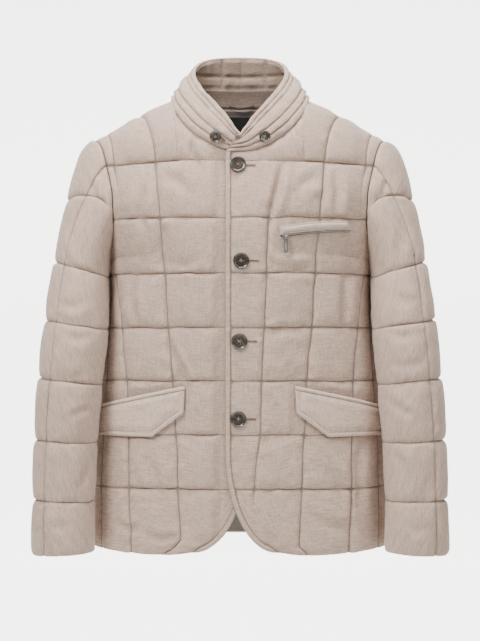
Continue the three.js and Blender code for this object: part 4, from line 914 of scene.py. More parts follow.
# %% Lining, label, horn and metal
def ribbed(name, base, rib, scale, roughness, bump=0.25):
    material, shader = new_material(name)
    tree = material.node_tree
    ribs = add_node(
        tree, "ShaderNodeTexWave", {"wave_type": "BANDS", "bands_direction": "X"},
        Vector=stretched(tree, 1, 1), Scale=scale, Distortion=0.6, Detail=1.0,
    ).outputs["Fac"]
    weft = noise_texture(tree, stretched(tree, 0.15, 1), scale * 2.4, 2, 0.5)
    cloud = noise_texture(tree, stretched(tree, 1, 1), 20, 2, 0.5)
    woven = calculate(tree, "ADD", scaled(tree, ribs, 0.5), scaled(tree, weft, 0.5))
    colour = mix_colours(tree, woven, linear(*base), linear(*rib))
    colour = mix_colours(tree, scaled(tree, cloud, 0.3), colour, linear(*[c * 0.75 for c in base]))
    tree.links.new(colour, shader.inputs["Base Color"])
    raised = add_node(tree, "ShaderNodeBump", Strength=bump, Distance=0.0003, Height=woven)
    tree.links.new(raised.outputs[0], shader.inputs["Normal"])
    tree.links.new(scaled(tree, cloud, 0.15, roughness), shader.inputs["Roughness"])
    shader.inputs["Sheen Weight"].default_value = 0.1
    return material


LINING = ribbed("satin_lining", (108, 97, 90), (126, 115, 107), 420.0, 0.5)
LABEL_CLOTH = ribbed("woven_label", (14, 14, 15), (34, 34, 36), 700.0, 0.55, 0.4)
TAPE = ribbed("zip_tape", (60, 54, 50), (84, 77, 72), 600.0, 0.7, 0.5)


def horn():
    """Polished dark horn with cream and brown streaks, each button different."""
    material, shader = new_material("dark_horn")
    tree = material.node_tree
    place = add_node(tree, "ShaderNodeTexCoord").outputs["Object"]
    drift = add_node(tree, "ShaderNodeTexNoise", Vector=place, Scale=60.0, Detail=3.0)
    bent = mix_colours(tree, 0.06, place, drift.outputs["Color"], "ADD")
    streaks = add_node(tree, "ShaderNodeTexNoise", Vector=add_node(
        tree, "ShaderNodeMapping", Vector=bent, Scale=(60, 1, 320), Rotation=(0, 0.5, 0),
    ).outputs[0], Scale=1.0, Detail=4.0, Roughness=0.6).outputs["Fac"]
    ramp = add_node(tree, "ShaderNodeValToRGB", Fac=streaks)
    ramp.color_ramp.elements[0].position = 0.3
    ramp.color_ramp.elements[0].color = linear(20, 18, 17)
    ramp.color_ramp.elements[1].position = 0.78
    ramp.color_ramp.elements[1].color = linear(146, 126, 100)
    ramp.color_ramp.elements.new(0.5).color = linear(44, 38, 34)
    ramp.color_ramp.elements.new(0.62).color = linear(74, 62, 51)
    tree.links.new(ramp.outputs[0], shader.inputs["Base Color"])
    scratches = noise_texture(tree, place, 900, 3, 0.6)
    tree.links.new(scaled(tree, scratches, 0.2, 0.18), shader.inputs["Roughness"])
    bump = add_node(tree, "ShaderNodeBump", Strength=0.12, Distance=0.0002, Height=scratches)
    tree.links.new(bump.outputs[0], shader.inputs["Normal"])
    shader.inputs["Coat Weight"].default_value = 0.5
    shader.inputs["Coat Roughness"].default_value = 0.15
    return material


def nickel():
    """Tumbled nickel: bright, with fine scratches and slightly dull patches."""
    material, shader = new_material("tumbled_nickel")
    tree = material.node_tree
    place = add_node(tree, "ShaderNodeTexCoord").outputs["Object"]
    brushed = noise_texture(tree, add_node(
        tree, "ShaderNodeMapping", Vector=place, Scale=(1, 1, 0.12)).outputs[0], 2600, 3, 0.6)
    dull = noise_texture(tree, place, 240, 2, 0.5)
    colour = mix_colours(tree, dull, linear(196, 194, 190), linear(158, 156, 152))
    tree.links.new(colour, shader.inputs["Base Color"])
    shader.inputs["Metallic"].default_value = 1
    rough = calculate(tree, "ADD", calculate(tree, "MULTIPLY", brushed, 0.22), 0.2)
    tree.links.new(rough, shader.inputs["Roughness"])
    bump = add_node(tree, "ShaderNodeBump", Strength=0.15, Distance=0.0001, Height=brushed)
    tree.links.new(bump.outputs[0], shader.inputs["Normal"])
    return material


HORN, NICKEL = horn(), nickel()

# %% [markdown]
# ## The fronts
# The left front laps over the right one. Padding is thin along the placket, under the pockets and
# where the sleeve presses, and thick in the open cells. Soft folds are laid where the chest and the
# arms pull the cloth.

# %% Fronts
STITCHES = []  # lines of stitches: points and normals, in millimetres
PUFF = 6.2


def note_stitches(outer, normals, us, vs, u_lines, v_lines, above=0.15):
    for at, depth in u_lines:
        i = int(np.argmin(np.abs(us - at)))
        shown = np.broadcast_to(depth, vs.shape) > 0.5
        collect(outer[i], normals[i], shown, above)
    for at, depth in v_lines:
        j = int(np.argmin(np.abs(vs - at)))
        shown = np.broadcast_to(depth, us.shape) > 0.5
        collect(outer[:, j], normals[:, j], shown, above)


def collect(points, normals, shown, above):
    start = None
    for k, on in enumerate(list(shown) + [False]):
        if on and start is None:
            start = k
        if not on and start is not None:
            if k - start > 3:
                STITCHES.append((points[start:k] + normals[start:k] * above, normals[start:k]))
            start = None


def wander(p, seed, size=1.3):
    """Lets the grid wander a little in its own plane, except at its rim, so no line is ruled straight."""
    lu, lv = running(p, 0), running(p, 1)
    edge = np.minimum(np.minimum(lu, lu[-1:] - lu), np.minimum(lv, lv[:, -1:] - lv))
    size = size * smooth(4, 30, edge)[..., None]
    du, dv = unit(np.gradient(p, axis=0)), unit(np.gradient(p, axis=1))
    return p + size * (
        du * (noise(lu / 80, lv / 34, seed) + 0.4 * noise(lu / 30, lv / 15, seed + 1))[..., None]
        + dv * (noise(lu / 34, lv / 80, seed + 2) + 0.4 * noise(lu / 15, lv / 30, seed + 3))[..., None]
    )


ROWS = spaced(range(9), [104, 84, 83, 82, 84, 85, 88, 150], 2.5)
FRONT_COLUMNS = spaced(range(8), [15, 50, 36, 36, 75, 50, 50], 2.3)


def body_axis(p):
    """The point of the body's axis that lies level with each point, or below the shoulders."""
    z = p[..., 2]
    return np.stack([0 * z, 0 * z, np.minimum(z, -120) - 20 * (z > -120)], -1)


FOLD_HEIGHT = 2.3
FLAP = {"x": 86, "width": 160, "top": -447, "fall": 0.21, "short": 34, "cut": 48, "foot": -518}
WELT = {"x": 60, "width": 112, "top": -196, "height": 12, "climb": 10, "arch": 2.4, "lift": 3.8, "wall": 3.4}
FOLDS = {
    "left": [
        ([(66, -96), (60, -128), (50, -168), (45, -200)], 6, 3.2),
        ([(146, -104), (150, -140), (147, -182)], 7, 2.2),
        ([(164, -262), (160, -300), (161, -352)], 7, 2.6),
        ([(120, -118), (96, -132), (84, -150)], 9, 1.6),
        ([(56, -255), (88, -262), (112, -257)], 8, 1.4),
        ([(128, -560), (150, -590), (158, -632)], 9, 1.8),
        ([(40, -360), (66, -352), (98, -356)], 7, 1.2),
        ([(188, -520), (182, -570), (186, -640)], 8, 2.0),
        ([(110, -640), (140, -655), (176, -660)], 8, 1.5),
    ],
    "right": [
        ([(-69, -58), (-72, -80), (-66, -104)], 5, 2.6),
        ([(-107, -376), (-92, -412), (-78, -444)], 6, 2.8),
        ([(-185, -656), (-170, -662), (-152, -660)], 6, 2.0),
        ([(-142, -668), (-118, -674), (-94, -670)], 6, 2.0),
        ([(-120, -116), (-92, -128), (-74, -150)], 9, 1.6),
        ([(-160, -262), (-166, -300), (-160, -348)], 7, 2.4),
        ([(-60, -246), (-84, -254), (-110, -252)], 8, 1.4),
        ([(-150, -540), (-128, -580), (-122, -640)], 9, 1.7),
        ([(-146, -130), (-152, -170), (-146, -206)], 7, 2.0),
    ],
}


def pocket_zones(side, x, z):
    flap_top = FLAP["top"] - FLAP["fall"] * np.maximum(x - FLAP["x"], 0)
    below = 1 - smooth(flap_top + 8, flap_top + 20, z)
    flap = smooth(72, 86, x) * smooth(FLAP["foot"] - 8, FLAP["foot"] + 4, z) * below
    if side == "right":
        return flap, 0 * x
    foot = WELT["top"] - WELT["height"] - 26
    return flap, within(60, 172, 12, x) * within(foot, -186, 12, z)


def front_panel(side):
    us, vs = FRONT_COLUMNS, ROWS
    p = wander(front_grid(side, us, vs), 11 if side == "left" else 23)
    normals = normals_of(p, body_axis(p))
    x, z = np.abs(p[..., 0]), p[..., 2]
    signed = p[..., 0] if side == "left" else -p[..., 0]
    placket = 1 - 0.5 * (1 - smooth(20, 44, signed))
    lapped = 1 if side == "left" else np.maximum(smooth(24, 46, signed), 0.12)
    flap, welt = pocket_zones(side, x, z)
    beside_neck = 1 - 0.9 * smooth(7.4, 7.95, vs)[None, :] * (1 - smooth(100, 160, x))
    at_side, under_pocket = 1 - 0.6 * smooth(170, 196, x), 1 - 0.75 * flap - 0.6 * welt
    puff = PUFF * placket * lapped * at_side * under_pocket * beside_neck
    first_line = (1 - smooth(6, 6.8, vs)) * smooth(0.6, 1, vs) if side == "left" else 0 * vs
    u_lines = [
        (0, 1.0), (1, 1.0), (2, first_line), (4, 1.0), (5, 1 - 0.8 * within(5.4, 6.4, 0.5, vs)),
        (6, 1 - smooth(4.4, 5, vs)), (7, 1.0),
    ]
    yoke_line = 0.35 + 0.65 * smooth(62, 100, x[:, int(np.argmin(np.abs(vs - YOKE)))])
    v_lines = [(0, 0.45)] + [(at, 1.0) for at in range(1, 7)] + [(YOKE, yoke_line), (8, 1.0)]
    height, share = quilt(p, us, vs, u_lines, v_lines, puff, 100 if side == "left" else 200)
    height += 5 * np.exp(-(((z + 252) / 26) ** 2)) * smooth(172, 190, x)
    room = np.minimum(placket * lapped, 1) * (1 - flap) * (1 - welt)
    for points, width, depth in FOLDS[side]:
        height += crease(p, points, width, FOLD_HEIGHT * depth) * room * smooth(0, 0.25, share)
    outer = p + normals * np.maximum(height, LOWEST)[..., None]
    inner = p - normals * 3
    made = wall(
        f"front_{side}_cloth", trim_rim(outer), trim_rim(inner), [SHELL, LINING], step=4,
        rounded=(0.7, 0, 0.8, 0), share=share,
    )
    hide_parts(f"front_{side}")
    flat = (float(running(p, 0)[-1].max()) / 1000, float(running(p, 1)[:, -1].max()) / 1000)
    note_stitches(outer, normals, us, vs, u_lines[2:6] + [(1, 1.0)], v_lines[1:8])
    return made, outer, normals


fronts = {side: front_panel(side) for side in ("left", "right")}

# %% [markdown]
# The front edges and cutaway corners are bound with a narrow strip of the same cloth, turned over
# the edge and stitched down. It is a strip on the first columns of each front, with a fold along
# its free edge.

# %% Bound edges
for side in ("left", "right"):
    _, outer, normals = fronts[side]
    columns = np.flatnonzero(FRONT_COLUMNS <= 1)
    base, n = outer[columns], normals[columns]
    across = np.linspace(0, 1, len(columns))[:, None]
    crown = 1.15 * (1 - np.abs(2 * across - 1) ** 3) + 0.25
    length = running(base, 1)
    ripple = 0.22 * noise(length / 6, across * 2, 31) + 0.12 * noise(length / 2.7, across * 2, 32)
    top = base + n * (0.3 + crown + ripple)[..., None]
    binding = wall(
        f"edge_binding_{side}_cloth", top, base + n * 0.3, [SHELL], step=2, rounded=(0.5, 0.2, 0.3, 0.3),
    )
    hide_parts(f"edge_binding_{side}")
    flat = (0.0105, float(length[0, -1]) / 1000)
    edge_line = len(columns) - 1
    STITCHES.append((top[edge_line - 1] + n[edge_line - 1] * 0.1, n[edge_line - 1]))

# %% [markdown]
# ## The back
# The back is one wide panel with the same rows. Nothing of its outside shows in the photograph, so
# it is finished plainly, with soft folds between the shoulder blades and over the seat.

# %% Back
BACK_COLUMNS = spaced([-5, -4, -3, -1, 1, 3, 4, 5], [92, 92, 80, 80, 80, 92, 92], 2.6)
BACK_FOLDS = [
    ([(-150, -120), (-128, -160), (-120, -205)], 8, 2.4), ([(150, -118), (132, -160), (124, -208)], 8, 2.4),
    ([(-60, -150), (-20, -158), (26, -152)], 10, 1.6), ([(-150, -330), (-110, -345), (-70, -338)], 9, 1.8),
    ([(152, -318), (112, -336), (74, -332)], 9, 1.8), ([(-40, -420), (10, -428), (60, -420)], 9, 1.3),
    ([(-128, -560), (-134, -600), (-126, -650)], 9, 1.7), ([(120, -540), (128, -590), (120, -650)], 9, 1.7),
    ([(-180, -430), (-176, -480), (-182, -540)], 8, 1.8), ([(182, -440), (176, -490), (180, -545)], 8, 1.8),
]
us, vs = BACK_COLUMNS, ROWS
p = wander(back_grid(us, vs), 41)
normals = normals_of(p, body_axis(p))
x = np.abs(p[..., 0])
beside_neck = 1 - 0.9 * smooth(7.4, 7.95, vs)[None, :] * (1 - smooth(100, 160, x))
puff = PUFF * beside_neck * (1 - 0.6 * smooth(172, 196, x) * (1 - smooth(30, 60, p[..., 1])))
outer_column = 1 - smooth(4.8, 5.3, vs)
u_lines = [(at, outer_column if abs(at) == 4 else 1.0) for at in (-5, -4, -3, -1, 1, 3, 4, 5)]
v_lines = [(0, 0.45)] + [(at, 1.0) for at in range(1, 9)]
height, share = quilt(p, us, vs, u_lines, v_lines, puff, 300)
for points, width, depth in BACK_FOLDS:
    height += crease(p, points, width, depth) * smooth(0, 0.3, share)
outer = p + normals * np.maximum(height, LOWEST)[..., None]
lining_waves = 0.8 * noise(running(p, 0) / 26, running(p, 1) / 90, 301)
inner = p - normals * (3 + 0.7 * np.abs(lining_waves))[..., None]
back = wall(
    "back_cloth", trim_rim(outer), trim_rim(inner), [SHELL, LINING], step=3, rounded=(0, 0, 0.8, 0),
    share=share,
)
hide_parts("back")
flat = (float(running(p, 0)[-1].max()) / 1000, float(running(p, 1)[:, -1].max()) / 1000)
note_stitches(outer, normals, us, vs, u_lines[1:7], v_lines[1:8])

# %% [markdown]
# ## The sleeves
# Each sleeve is a front and a back piece. The rows run round the sleeve a little higher on the
# outer side. The arm hangs slightly bent, so cloth gathers in the crook of the elbow and settles
# in soft rings above the cuff.

# %% Sleeve pieces
RINGS = spaced(range(8), [90, 76, 88, 88, 92, 92, 80], 2.5)
SLEEVE_FOLDS = {
    "left": [
        ([(238, -300), (256, -312), (276, -306)], 7, 2.2),
        ([(228, -352), (246, -366), (270, -362)], 7, 2.6),
        ([(232, -404), (252, -410), (284, -402)], 7, 2.0),
        ([(232, -462), (252, -478), (268, -484)], 6, 2.4),
        ([(236, -540), (250, -556), (258, -590)], 7, 2.0),
        ([(290, -560), (284, -600), (288, -640)], 7, 1.6),
        ([(232, -110), (226, -130), (218, -150)], 6, 2.6),
        ([(256, -650), (270, -660), (290, -654)], 6, 1.6),
        ([(246, -190), (252, -214), (246, -238)], 8, 2.0),
    ],
    "right": [
        ([(-236, -306), (-254, -320), (-280, -312)], 7, 2.4),
        ([(-228, -360), (-248, -370), (-272, -360)], 7, 2.4),
        ([(-262, -488), (-250, -480), (-232, -472)], 5, 2.6),
        ([(-234, -556), (-238, -578), (-246, -600)], 6, 2.4),
        ([(-286, -560), (-282, -604), (-288, -640)], 7, 1.6),
        ([(-232, -418), (-258, -428), (-284, -420)], 7, 1.8),
        ([(-238, -116), (-228, -136), (-222, -158)], 6, 2.2),
        ([(-258, -646), (-272, -656), (-292, -650)], 6, 1.6),
        ([(-250, -196), (-254, -216), (-248, -244)], 8, 2.0),
    ],
}


HIDDEN_SLEEVE_FOLDS = [(215, 2.5), (262, 3.4), (230, 4.4), (285, 5.5), (300, 2.4), (250, 6.3)]


def sleeve_piece(side, name, start, end, seed):
    mirror = 1 if side == "left" else -1
    width = 2.9 * 52 * (end - start) / 180
    us, vs = spaced([start, end], [width], 2.5, 0.3), RINGS
    p = wander(sleeve_grid(side, us, vs), seed)
    ring = np.clip(2 + (-260 - p[..., 2]) / 87, HEAD, CUFF)
    axis = np.stack([mirror * SLEEVE_RINGS.read("cx", ring), SLEEVE_RINGS.read("cy", ring), p[..., 2]], -1)
    normals = normals_of(p, axis)
    cosine = np.cos(np.radians(us))
    puff = PUFF * (1 - 0.6 * smooth(0.2, 0.9, -cosine))[:, None] * np.ones(p.shape[:2])
    u_lines = [(start, 0.8), (end, 0.8)]
    v_lines = [(0, 1.0), (1, smooth(-0.35, 0.1, cosine))] + [(at, 1.0) for at in range(2, 7)] + [(CUFF, 0.45)]
    height, share = quilt(p, us, vs, u_lines, v_lines, puff, seed + 400, ripple=1.1)
    drape = 1.1 * noise(us[:, None] / 46 + vs[None, :] * 0.9, vs[None, :] * 1.4 + 0 * us[:, None], seed + 7)
    height += drape * smooth(0.1, 0.6, share)
    if name == "front":
        for points, width, depth in SLEEVE_FOLDS[side]:
            seen = smooth(0, 0.3, share) * smooth(0.0, 0.25, -normals[..., 1])
            height += crease(p, points, width, depth) * seen
    else:
        for k, (a, b) in enumerate(HIDDEN_SLEEVE_FOLDS):
            line = np.exp(-(((us[:, None] - a) / 26) ** 2))
            bend = vs[None, :] - b - 0.18 * np.sin(np.radians(us[:, None] * 2 + 50 * k))
            profile = 0.9 * np.exp(-(((bend - 0.13) / 0.1) ** 2)) - 1.9 * np.exp(-((bend / 0.08) ** 2))
            height += line * profile * smooth(0, 0.3, share)
    outer = p + normals * np.maximum(height, LOWEST)[..., None]
    inner = p - normals * 3
    made = wall(
        f"sleeve_{side}_{name}_cloth", trim_rim(outer), trim_rim(inner), [SHELL, LINING], step=4,
        rounded=(0, 0, 0, 0.8), share=share,
    )
    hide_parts(f"sleeve_{side}_{name}")
    flat = (float(running(p, 0)[-1].max()) / 1000, float(running(p, 1)[:, -1].max()) / 1000)
    note_stitches(outer, normals, us, vs, [], v_lines[1:7])
    return made


for side, seed in (("left", 51), ("right", 71)):
    sleeve_piece(side, "front", OUTER_SEAM, 180, seed)
    sleeve_piece(side, "back", 180, 360 + OUTER_SEAM, seed + 9)

# %% [markdown]
# ## The collar
# The stand collar is stitched in rows that run parallel to its top edge: a narrow edge, a thin
# strip, a wide padded roll and two narrow rolls above the neck seam. Bent round the neck, its
# inner side has too much cloth and buckles into upright folds.

# %% Collar cloth
alongs = np.linspace(-1, 1, 261)
ups = spaced([0] + COLLAR_LINES + [1], [23, 22, 31, 11, 11], 1.6, 0.4)
p = collar_grid(alongs, ups)
centre = np.broadcast_to(np.array([0.0, -10, 0]), p.shape).copy()
centre[..., 2] = p[..., 2] - 10
normals = normals_of(p, centre)
lu = running(p, 0)
lu = lu - lu[len(alongs) // 2]
lv = running(p, 1)
u_lines = [(-1, 0.9), (1, 0.9)]
v_lines = [(0, 0.8)] + [(at, 0.95) for at in COLLAR_LINES] + [(1, 0.6)]
height, share = quilt(p, alongs, ups, u_lines, v_lines, COLLAR_PUFF, 600, ripple=0.8, rise=5)
for line in COLLAR_LINES:
    j = int(np.argmin(np.abs(ups - line)))
    height -= 0.55 * np.exp(-(((lv - lv[:, j][:, None]) / 1.1) ** 2))
buckles = noise(lu / 13, lv / 60, 610) * np.exp(-((lu / 190) ** 2))
height += 0.35 * buckles * smooth(0.02, 0.2, share)
outer = p + normals * np.maximum(height, -0.6)[..., None]
inner_up = smooth(0.4, 0.5, ups)[None, :] * (1 - smooth(0.93, 1, ups))[None, :]
inner_row = 1 - 0.9 * np.exp(-(((lv - np.interp(0.93, ups, lv.mean(0))) / 3.5) ** 2))
upright = noise(lu / 11, lv / 90, 620) + 0.5 * noise(lu / 5.5, lv / 50, 621)
inside_height = inner_up * inner_row * (2.8 + 1.6 * np.clip(upright, -0.8, 1))
deep = 0 * lu
for at, width, depth in ((-30, 3.2, 1.0), (44, 2.8, 1.0), (3, 2.6, 0.7)):
    deep += depth * np.exp(-(((lu - at) / width) ** 2))
inside_height -= 3.6 * deep * inner_up
inner = p - normals * (COLLAR_WALL + np.maximum(inside_height, -0.4))[..., None]
collar = wall(
    "collar_cloth", trim_rim(outer, 0.1, 0.1), trim_rim(inner, 0.1, 0.1), [SHELL, SHADED], step=1,
    rounded=(0.6, 0.6, 0, 0.8), share=share,
)
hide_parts("collar")
note_stitches(outer, normals, alongs, ups, [], v_lines[1:5])
COLLAR = (alongs, ups, p, normals)

# %% [markdown]
# The foot of the collar is faced inside with a darker plain band, and below it the lining starts
# with the hanging loop and the label, both sewn into the neck seam.

# %% Collar band
chosen = np.flatnonzero(np.abs(alongs) < 0.47)
low = np.flatnonzero(ups <= 0.375)
base, n = p[np.ix_(chosen, low)], normals[np.ix_(chosen, low)]
waves = 0.35 * noise(lu[np.ix_(chosen, low)] / 16, lv[np.ix_(chosen, low)] / 20, 640)
crown = 1.0 - 0.5 * np.exp(-((np.minimum(ups[low], 0.375 - ups[low]) * 90 / 2.2) ** 2))
band_far = base - n * (COLLAR_WALL + 0.3 + crown[None, :, None] + np.abs(waves)[..., None])
band = wall(
    "collar_band_cloth", band_far, base - n * (COLLAR_WALL + 0.25), [BAND], step=4,
    rounded=(0.3, 0.3, 0.3, 0.6),
)
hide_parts("collar_inner_band")
band_size = (float(np.ptp(lu[chosen, 0])) / 1000, float(running(base, 1)[:, -1].max()) / 1000)

# %% [markdown]
# ## Pockets
# The flap pockets slant down towards the sides. Each flap is a padded lining-backed piece with a
# piped edge and a row of stitches just inside it, hanging from a narrow piped band.

# %% Places on a front
def front_by_length(side, x, z):
    """Places on a front by the distance along the cloth from x, and by height."""
    start = across_at(FRONT_ROWS, x, row_at(FRONT_ROWS, 0.4, z))
    steps = np.linspace(start, 1, 61)
    points = body_point(FRONT_ROWS, steps, row_at(FRONT_ROWS, steps, z))
    lengths = np.concatenate([[0], np.cumsum(np.linalg.norm(np.diff(points, axis=0), axis=1))])

    def place(along, height):
        across = np.interp(along, lengths, steps)
        found = body_point(FRONT_ROWS, across, row_at(FRONT_ROWS, across, height))
        if side == "right":
            found[..., 0] *= -1
        return found

    return place


def strip_piece(
    name, base, low, high, node, materials, rounded=(0.5, 0.5, 0.5, 0.5),
):
    """A small closed piece over the front: low and high are heights over the plain surface."""
    normals = normals_of(base, body_axis(base))
    top = base + normals * np.asarray(high)[..., None]
    bottom = base + normals * np.asarray(low)[..., None]
    made = wall(name, top, bottom, materials, step=3, rounded=rounded)
    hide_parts(node)
    length, height = float(running(base, 0)[-1].mean()), float(running(base, 1)[:, -1].max())
    size = (length / 1000, max(0.0105, height / 1000))
    min(area_of(base), size[0] * size[1])
    return made, top, normals


# %% Flaps and their bands
for side, seed in (("left", 80), ("right", 90)):
    place = front_by_length(side, FLAP["x"], (FLAP["top"] + FLAP["foot"]) / 2)
    along = np.linspace(0, FLAP["width"], 101)[:, None]
    share_up = np.linspace(0, 1, 47)[None, :]
    slanted = lerp(FLAP["top"] - FLAP["short"], FLAP["foot"], along / FLAP["cut"])
    foot = np.where(along < FLAP["cut"], slanted, FLAP["foot"])
    flap_top = FLAP["top"] - FLAP["fall"] * along
    z = lerp(foot, flap_top, share_up)
    slope = np.where(along < FLAP["cut"], 0.79, 1.0)
    corner = np.hypot(np.maximum(14 - along, 0), np.maximum(14 - (z - foot) * slope, 0))
    edge = np.minimum(np.minimum(along + 0 * z, FLAP["width"] - along + 0 * z), (z - foot) * slope)
    lift = lerp(4.6, 2.6, smooth(60, 125, along)) + 0 * z
    puff = 2.5 * smooth(5, 17, edge) * (1 - 0.6 * smooth(0.86, 1, share_up))
    beside_piping = np.exp(-(((edge - 6.5) / 4) ** 2))
    uneven = 0.5 * noise(along / 30, z / 24, seed) + 0.28 * noise(along / 7, z / 30, seed + 1) * beside_piping
    piping = 0.8 * np.exp(-(((edge - 2.8) / 2.0) ** 2)) - 0.95 * np.exp(-(((edge - 6.0) / 1.0) ** 2))
    thick = 2.4 + puff + piping + uneven * smooth(2, 8, edge)
    hang = 1.3 * noise(along / 60, z * 0 + 3.3, seed + 2) * (1 - share_up) ** 1.5
    hang = np.maximum(hang, -0.4)
    made, top, n = strip_piece(
        f"flap_{side}_cloth", place(along, z), lift + hang, lift + thick + hang, f"flap_{side}",
        [PAINTED_LIGHT_WOOL, LINING], (0.6, 0.6, 0.6, 0.1),
    )
    inset = (z - foot) * slope
    sewn = [(i, int(round(float(np.interp(6.0, inset[i], np.arange(47)))))) for i in range(4, 97)]
    STITCHES.append((np.array([top[at] for at in sewn]), np.array([n[at] for at in sewn])))
    for i in (4, 96):
        STITCHES.append((top[i, 6:44], n[i, 6:44]))
    share_up = np.linspace(0, 1, 13)[None, :]
    z = flap_top + 0.5 + 6.6 * share_up
    rolled = 1.9 * np.sin(np.pi * np.clip(share_up, 0.02, 0.98)) ** 0.6
    band_height = rolled + 0.25 * noise(along / 9, share_up * 3, seed + 5)
    lift = lerp(4.6, 2.6, smooth(60, 125, along)) + 0 * z
    made, top, n = strip_piece(
        f"flap_band_{side}_cloth", place(along, z), lift, lift + 0.9 + band_height, f"flap_band_{side}",
        [PAINTED_LIGHT_WOOL],
    )
    STITCHES.append((top[2:-2, 2], n[2:-2, 2]))

# %% [markdown]
# The chest pocket has a raised, slightly arched welt. Below it a closed zip shows as a dark gap
# with the edges of its metal teeth, and the slider rests at its inner end.

# %% Chest pocket
chest = front_by_length("left", WELT["x"], WELT["top"])
along = np.linspace(0, WELT["width"], 91)[:, None]
share_up = np.linspace(0, 1, 17)[None, :]
fraction = along / WELT["width"]
welt_top = WELT["top"] + WELT["climb"] * fraction + 4 * WELT["arch"] * fraction * (1 - fraction)
z = welt_top - WELT["height"] * (1 - share_up)
edge = np.minimum(np.minimum(along, WELT["width"] - along) + 0 * z, np.minimum(share_up, 1 - share_up) * 12)
body = 2.6 + 1.9 * smooth(0, 5, edge) - 0.8 * np.exp(-(((edge - 1.7) / 0.7) ** 2))
body += 0.3 * noise(along / 9, z / 12, 121)
lift = WELT["lift"] + 0 * z
_, top, n = strip_piece(
    "chest_welt_cloth", chest(along, z), lift, lift + body, "chest_welt", [PAINTED_LIGHT_WOOL],
)
for j in (2, 14):
    STITCHES.append((top[3:-3, j], n[3:-3, j]))
share_up = np.linspace(0, 1, 9)[None, :]
z = welt_top - WELT["height"] - 0.3 - 3.6 * (1 - share_up)
lift = 3.5 + 0 * z
tape_top = lift + 0.55 + 0.1 * noise(along / 4, z, 122)
_, zip_top, zip_normals = strip_piece(
    "chest_zip_tape", chest(along, z), lift, tape_top, "chest_zip", [TAPE],
)

# %% [markdown]
# ## Things that repeat
# Stitches, zip teeth and the whip stitches of a buttonhole are one small shape repeated along a
# line. Modelled one by one they would be thousands of objects; here one node tree follows each
# line, sets the shape down at an even pitch, turns it along the line and upright on the cloth,
# and varies its size a little. The result is made real and kept as one plain mesh for each body.

# %% A node tree that repeats a shape along lines
def repeating_tree(name):
    tree = bpy.data.node_groups.new(name, "GeometryNodeTree")
    face = tree.interface
    face.new_socket("Lines", in_out="INPUT", socket_type="NodeSocketGeometry")
    face.new_socket("Shape", in_out="INPUT", socket_type="NodeSocketObject")
    face.new_socket("Pitch", in_out="INPUT", socket_type="NodeSocketFloat")
    face.new_socket("Uneven", in_out="INPUT", socket_type="NodeSocketFloat")
    face.new_socket("Seed", in_out="INPUT", socket_type="NodeSocketInt")
    face.new_socket("Material", in_out="INPUT", socket_type="NodeSocketMaterial")
    face.new_socket("Geometry", in_out="OUTPUT", socket_type="NodeSocketGeometry")
    given, result = tree.nodes.new("NodeGroupInput"), tree.nodes.new("NodeGroupOutput")
    curve = add_node(tree, "GeometryNodeMeshToCurve", Mesh=given.outputs["Lines"])
    spaced_out = add_node(
        tree, "GeometryNodeResampleCurve", {"mode": "LENGTH"}, Curve=curve.outputs[0],
        Length=given.outputs["Pitch"],
    )
    tangent = add_node(tree, "GeometryNodeInputTangent").outputs[0]
    upright = add_node(tree, "GeometryNodeInputNamedAttribute", {"data_type": "FLOAT_VECTOR"}, Name="upright")
    turned = add_node(tree, "FunctionNodeAxesToRotation", {"primary_axis": "Z", "secondary_axis": "X"})
    tree.links.new(upright.outputs["Attribute"], turned.inputs[0])
    tree.links.new(tangent, turned.inputs[1])
    shape = add_node(tree, "GeometryNodeObjectInfo", Object=given.outputs["Shape"])
    size = add_node(tree, "FunctionNodeRandomValue", {"data_type": "FLOAT"}, Seed=given.outputs["Seed"])
    low = calculate(tree, "SUBTRACT", 1.0, given.outputs["Uneven"])
    high = calculate(tree, "ADD", 1.0, given.outputs["Uneven"])
    tree.links.new(low, next(i for i in size.inputs if i.name == "Min" and i.type == "VALUE"))
    tree.links.new(high, next(i for i in size.inputs if i.name == "Max" and i.type == "VALUE"))
    scale = next(o for o in size.outputs if o.type == "VALUE" and o.enabled)
    placed = add_node(
        tree, "GeometryNodeInstanceOnPoints", Points=spaced_out.outputs[0],
        Instance=shape.outputs["Geometry"], Rotation=turned.outputs[0], Scale=scale,
    )
    real = add_node(tree, "GeometryNodeRealizeInstances", Geometry=placed.outputs[0])
    finished = add_node(
        tree, "GeometryNodeSetMaterial", Geometry=real.outputs[0], Material=given.outputs["Material"],
    )
    tree.links.new(finished.outputs[0], result.inputs[0])
    return tree


REPEAT = repeating_tree("repeat_along_lines")


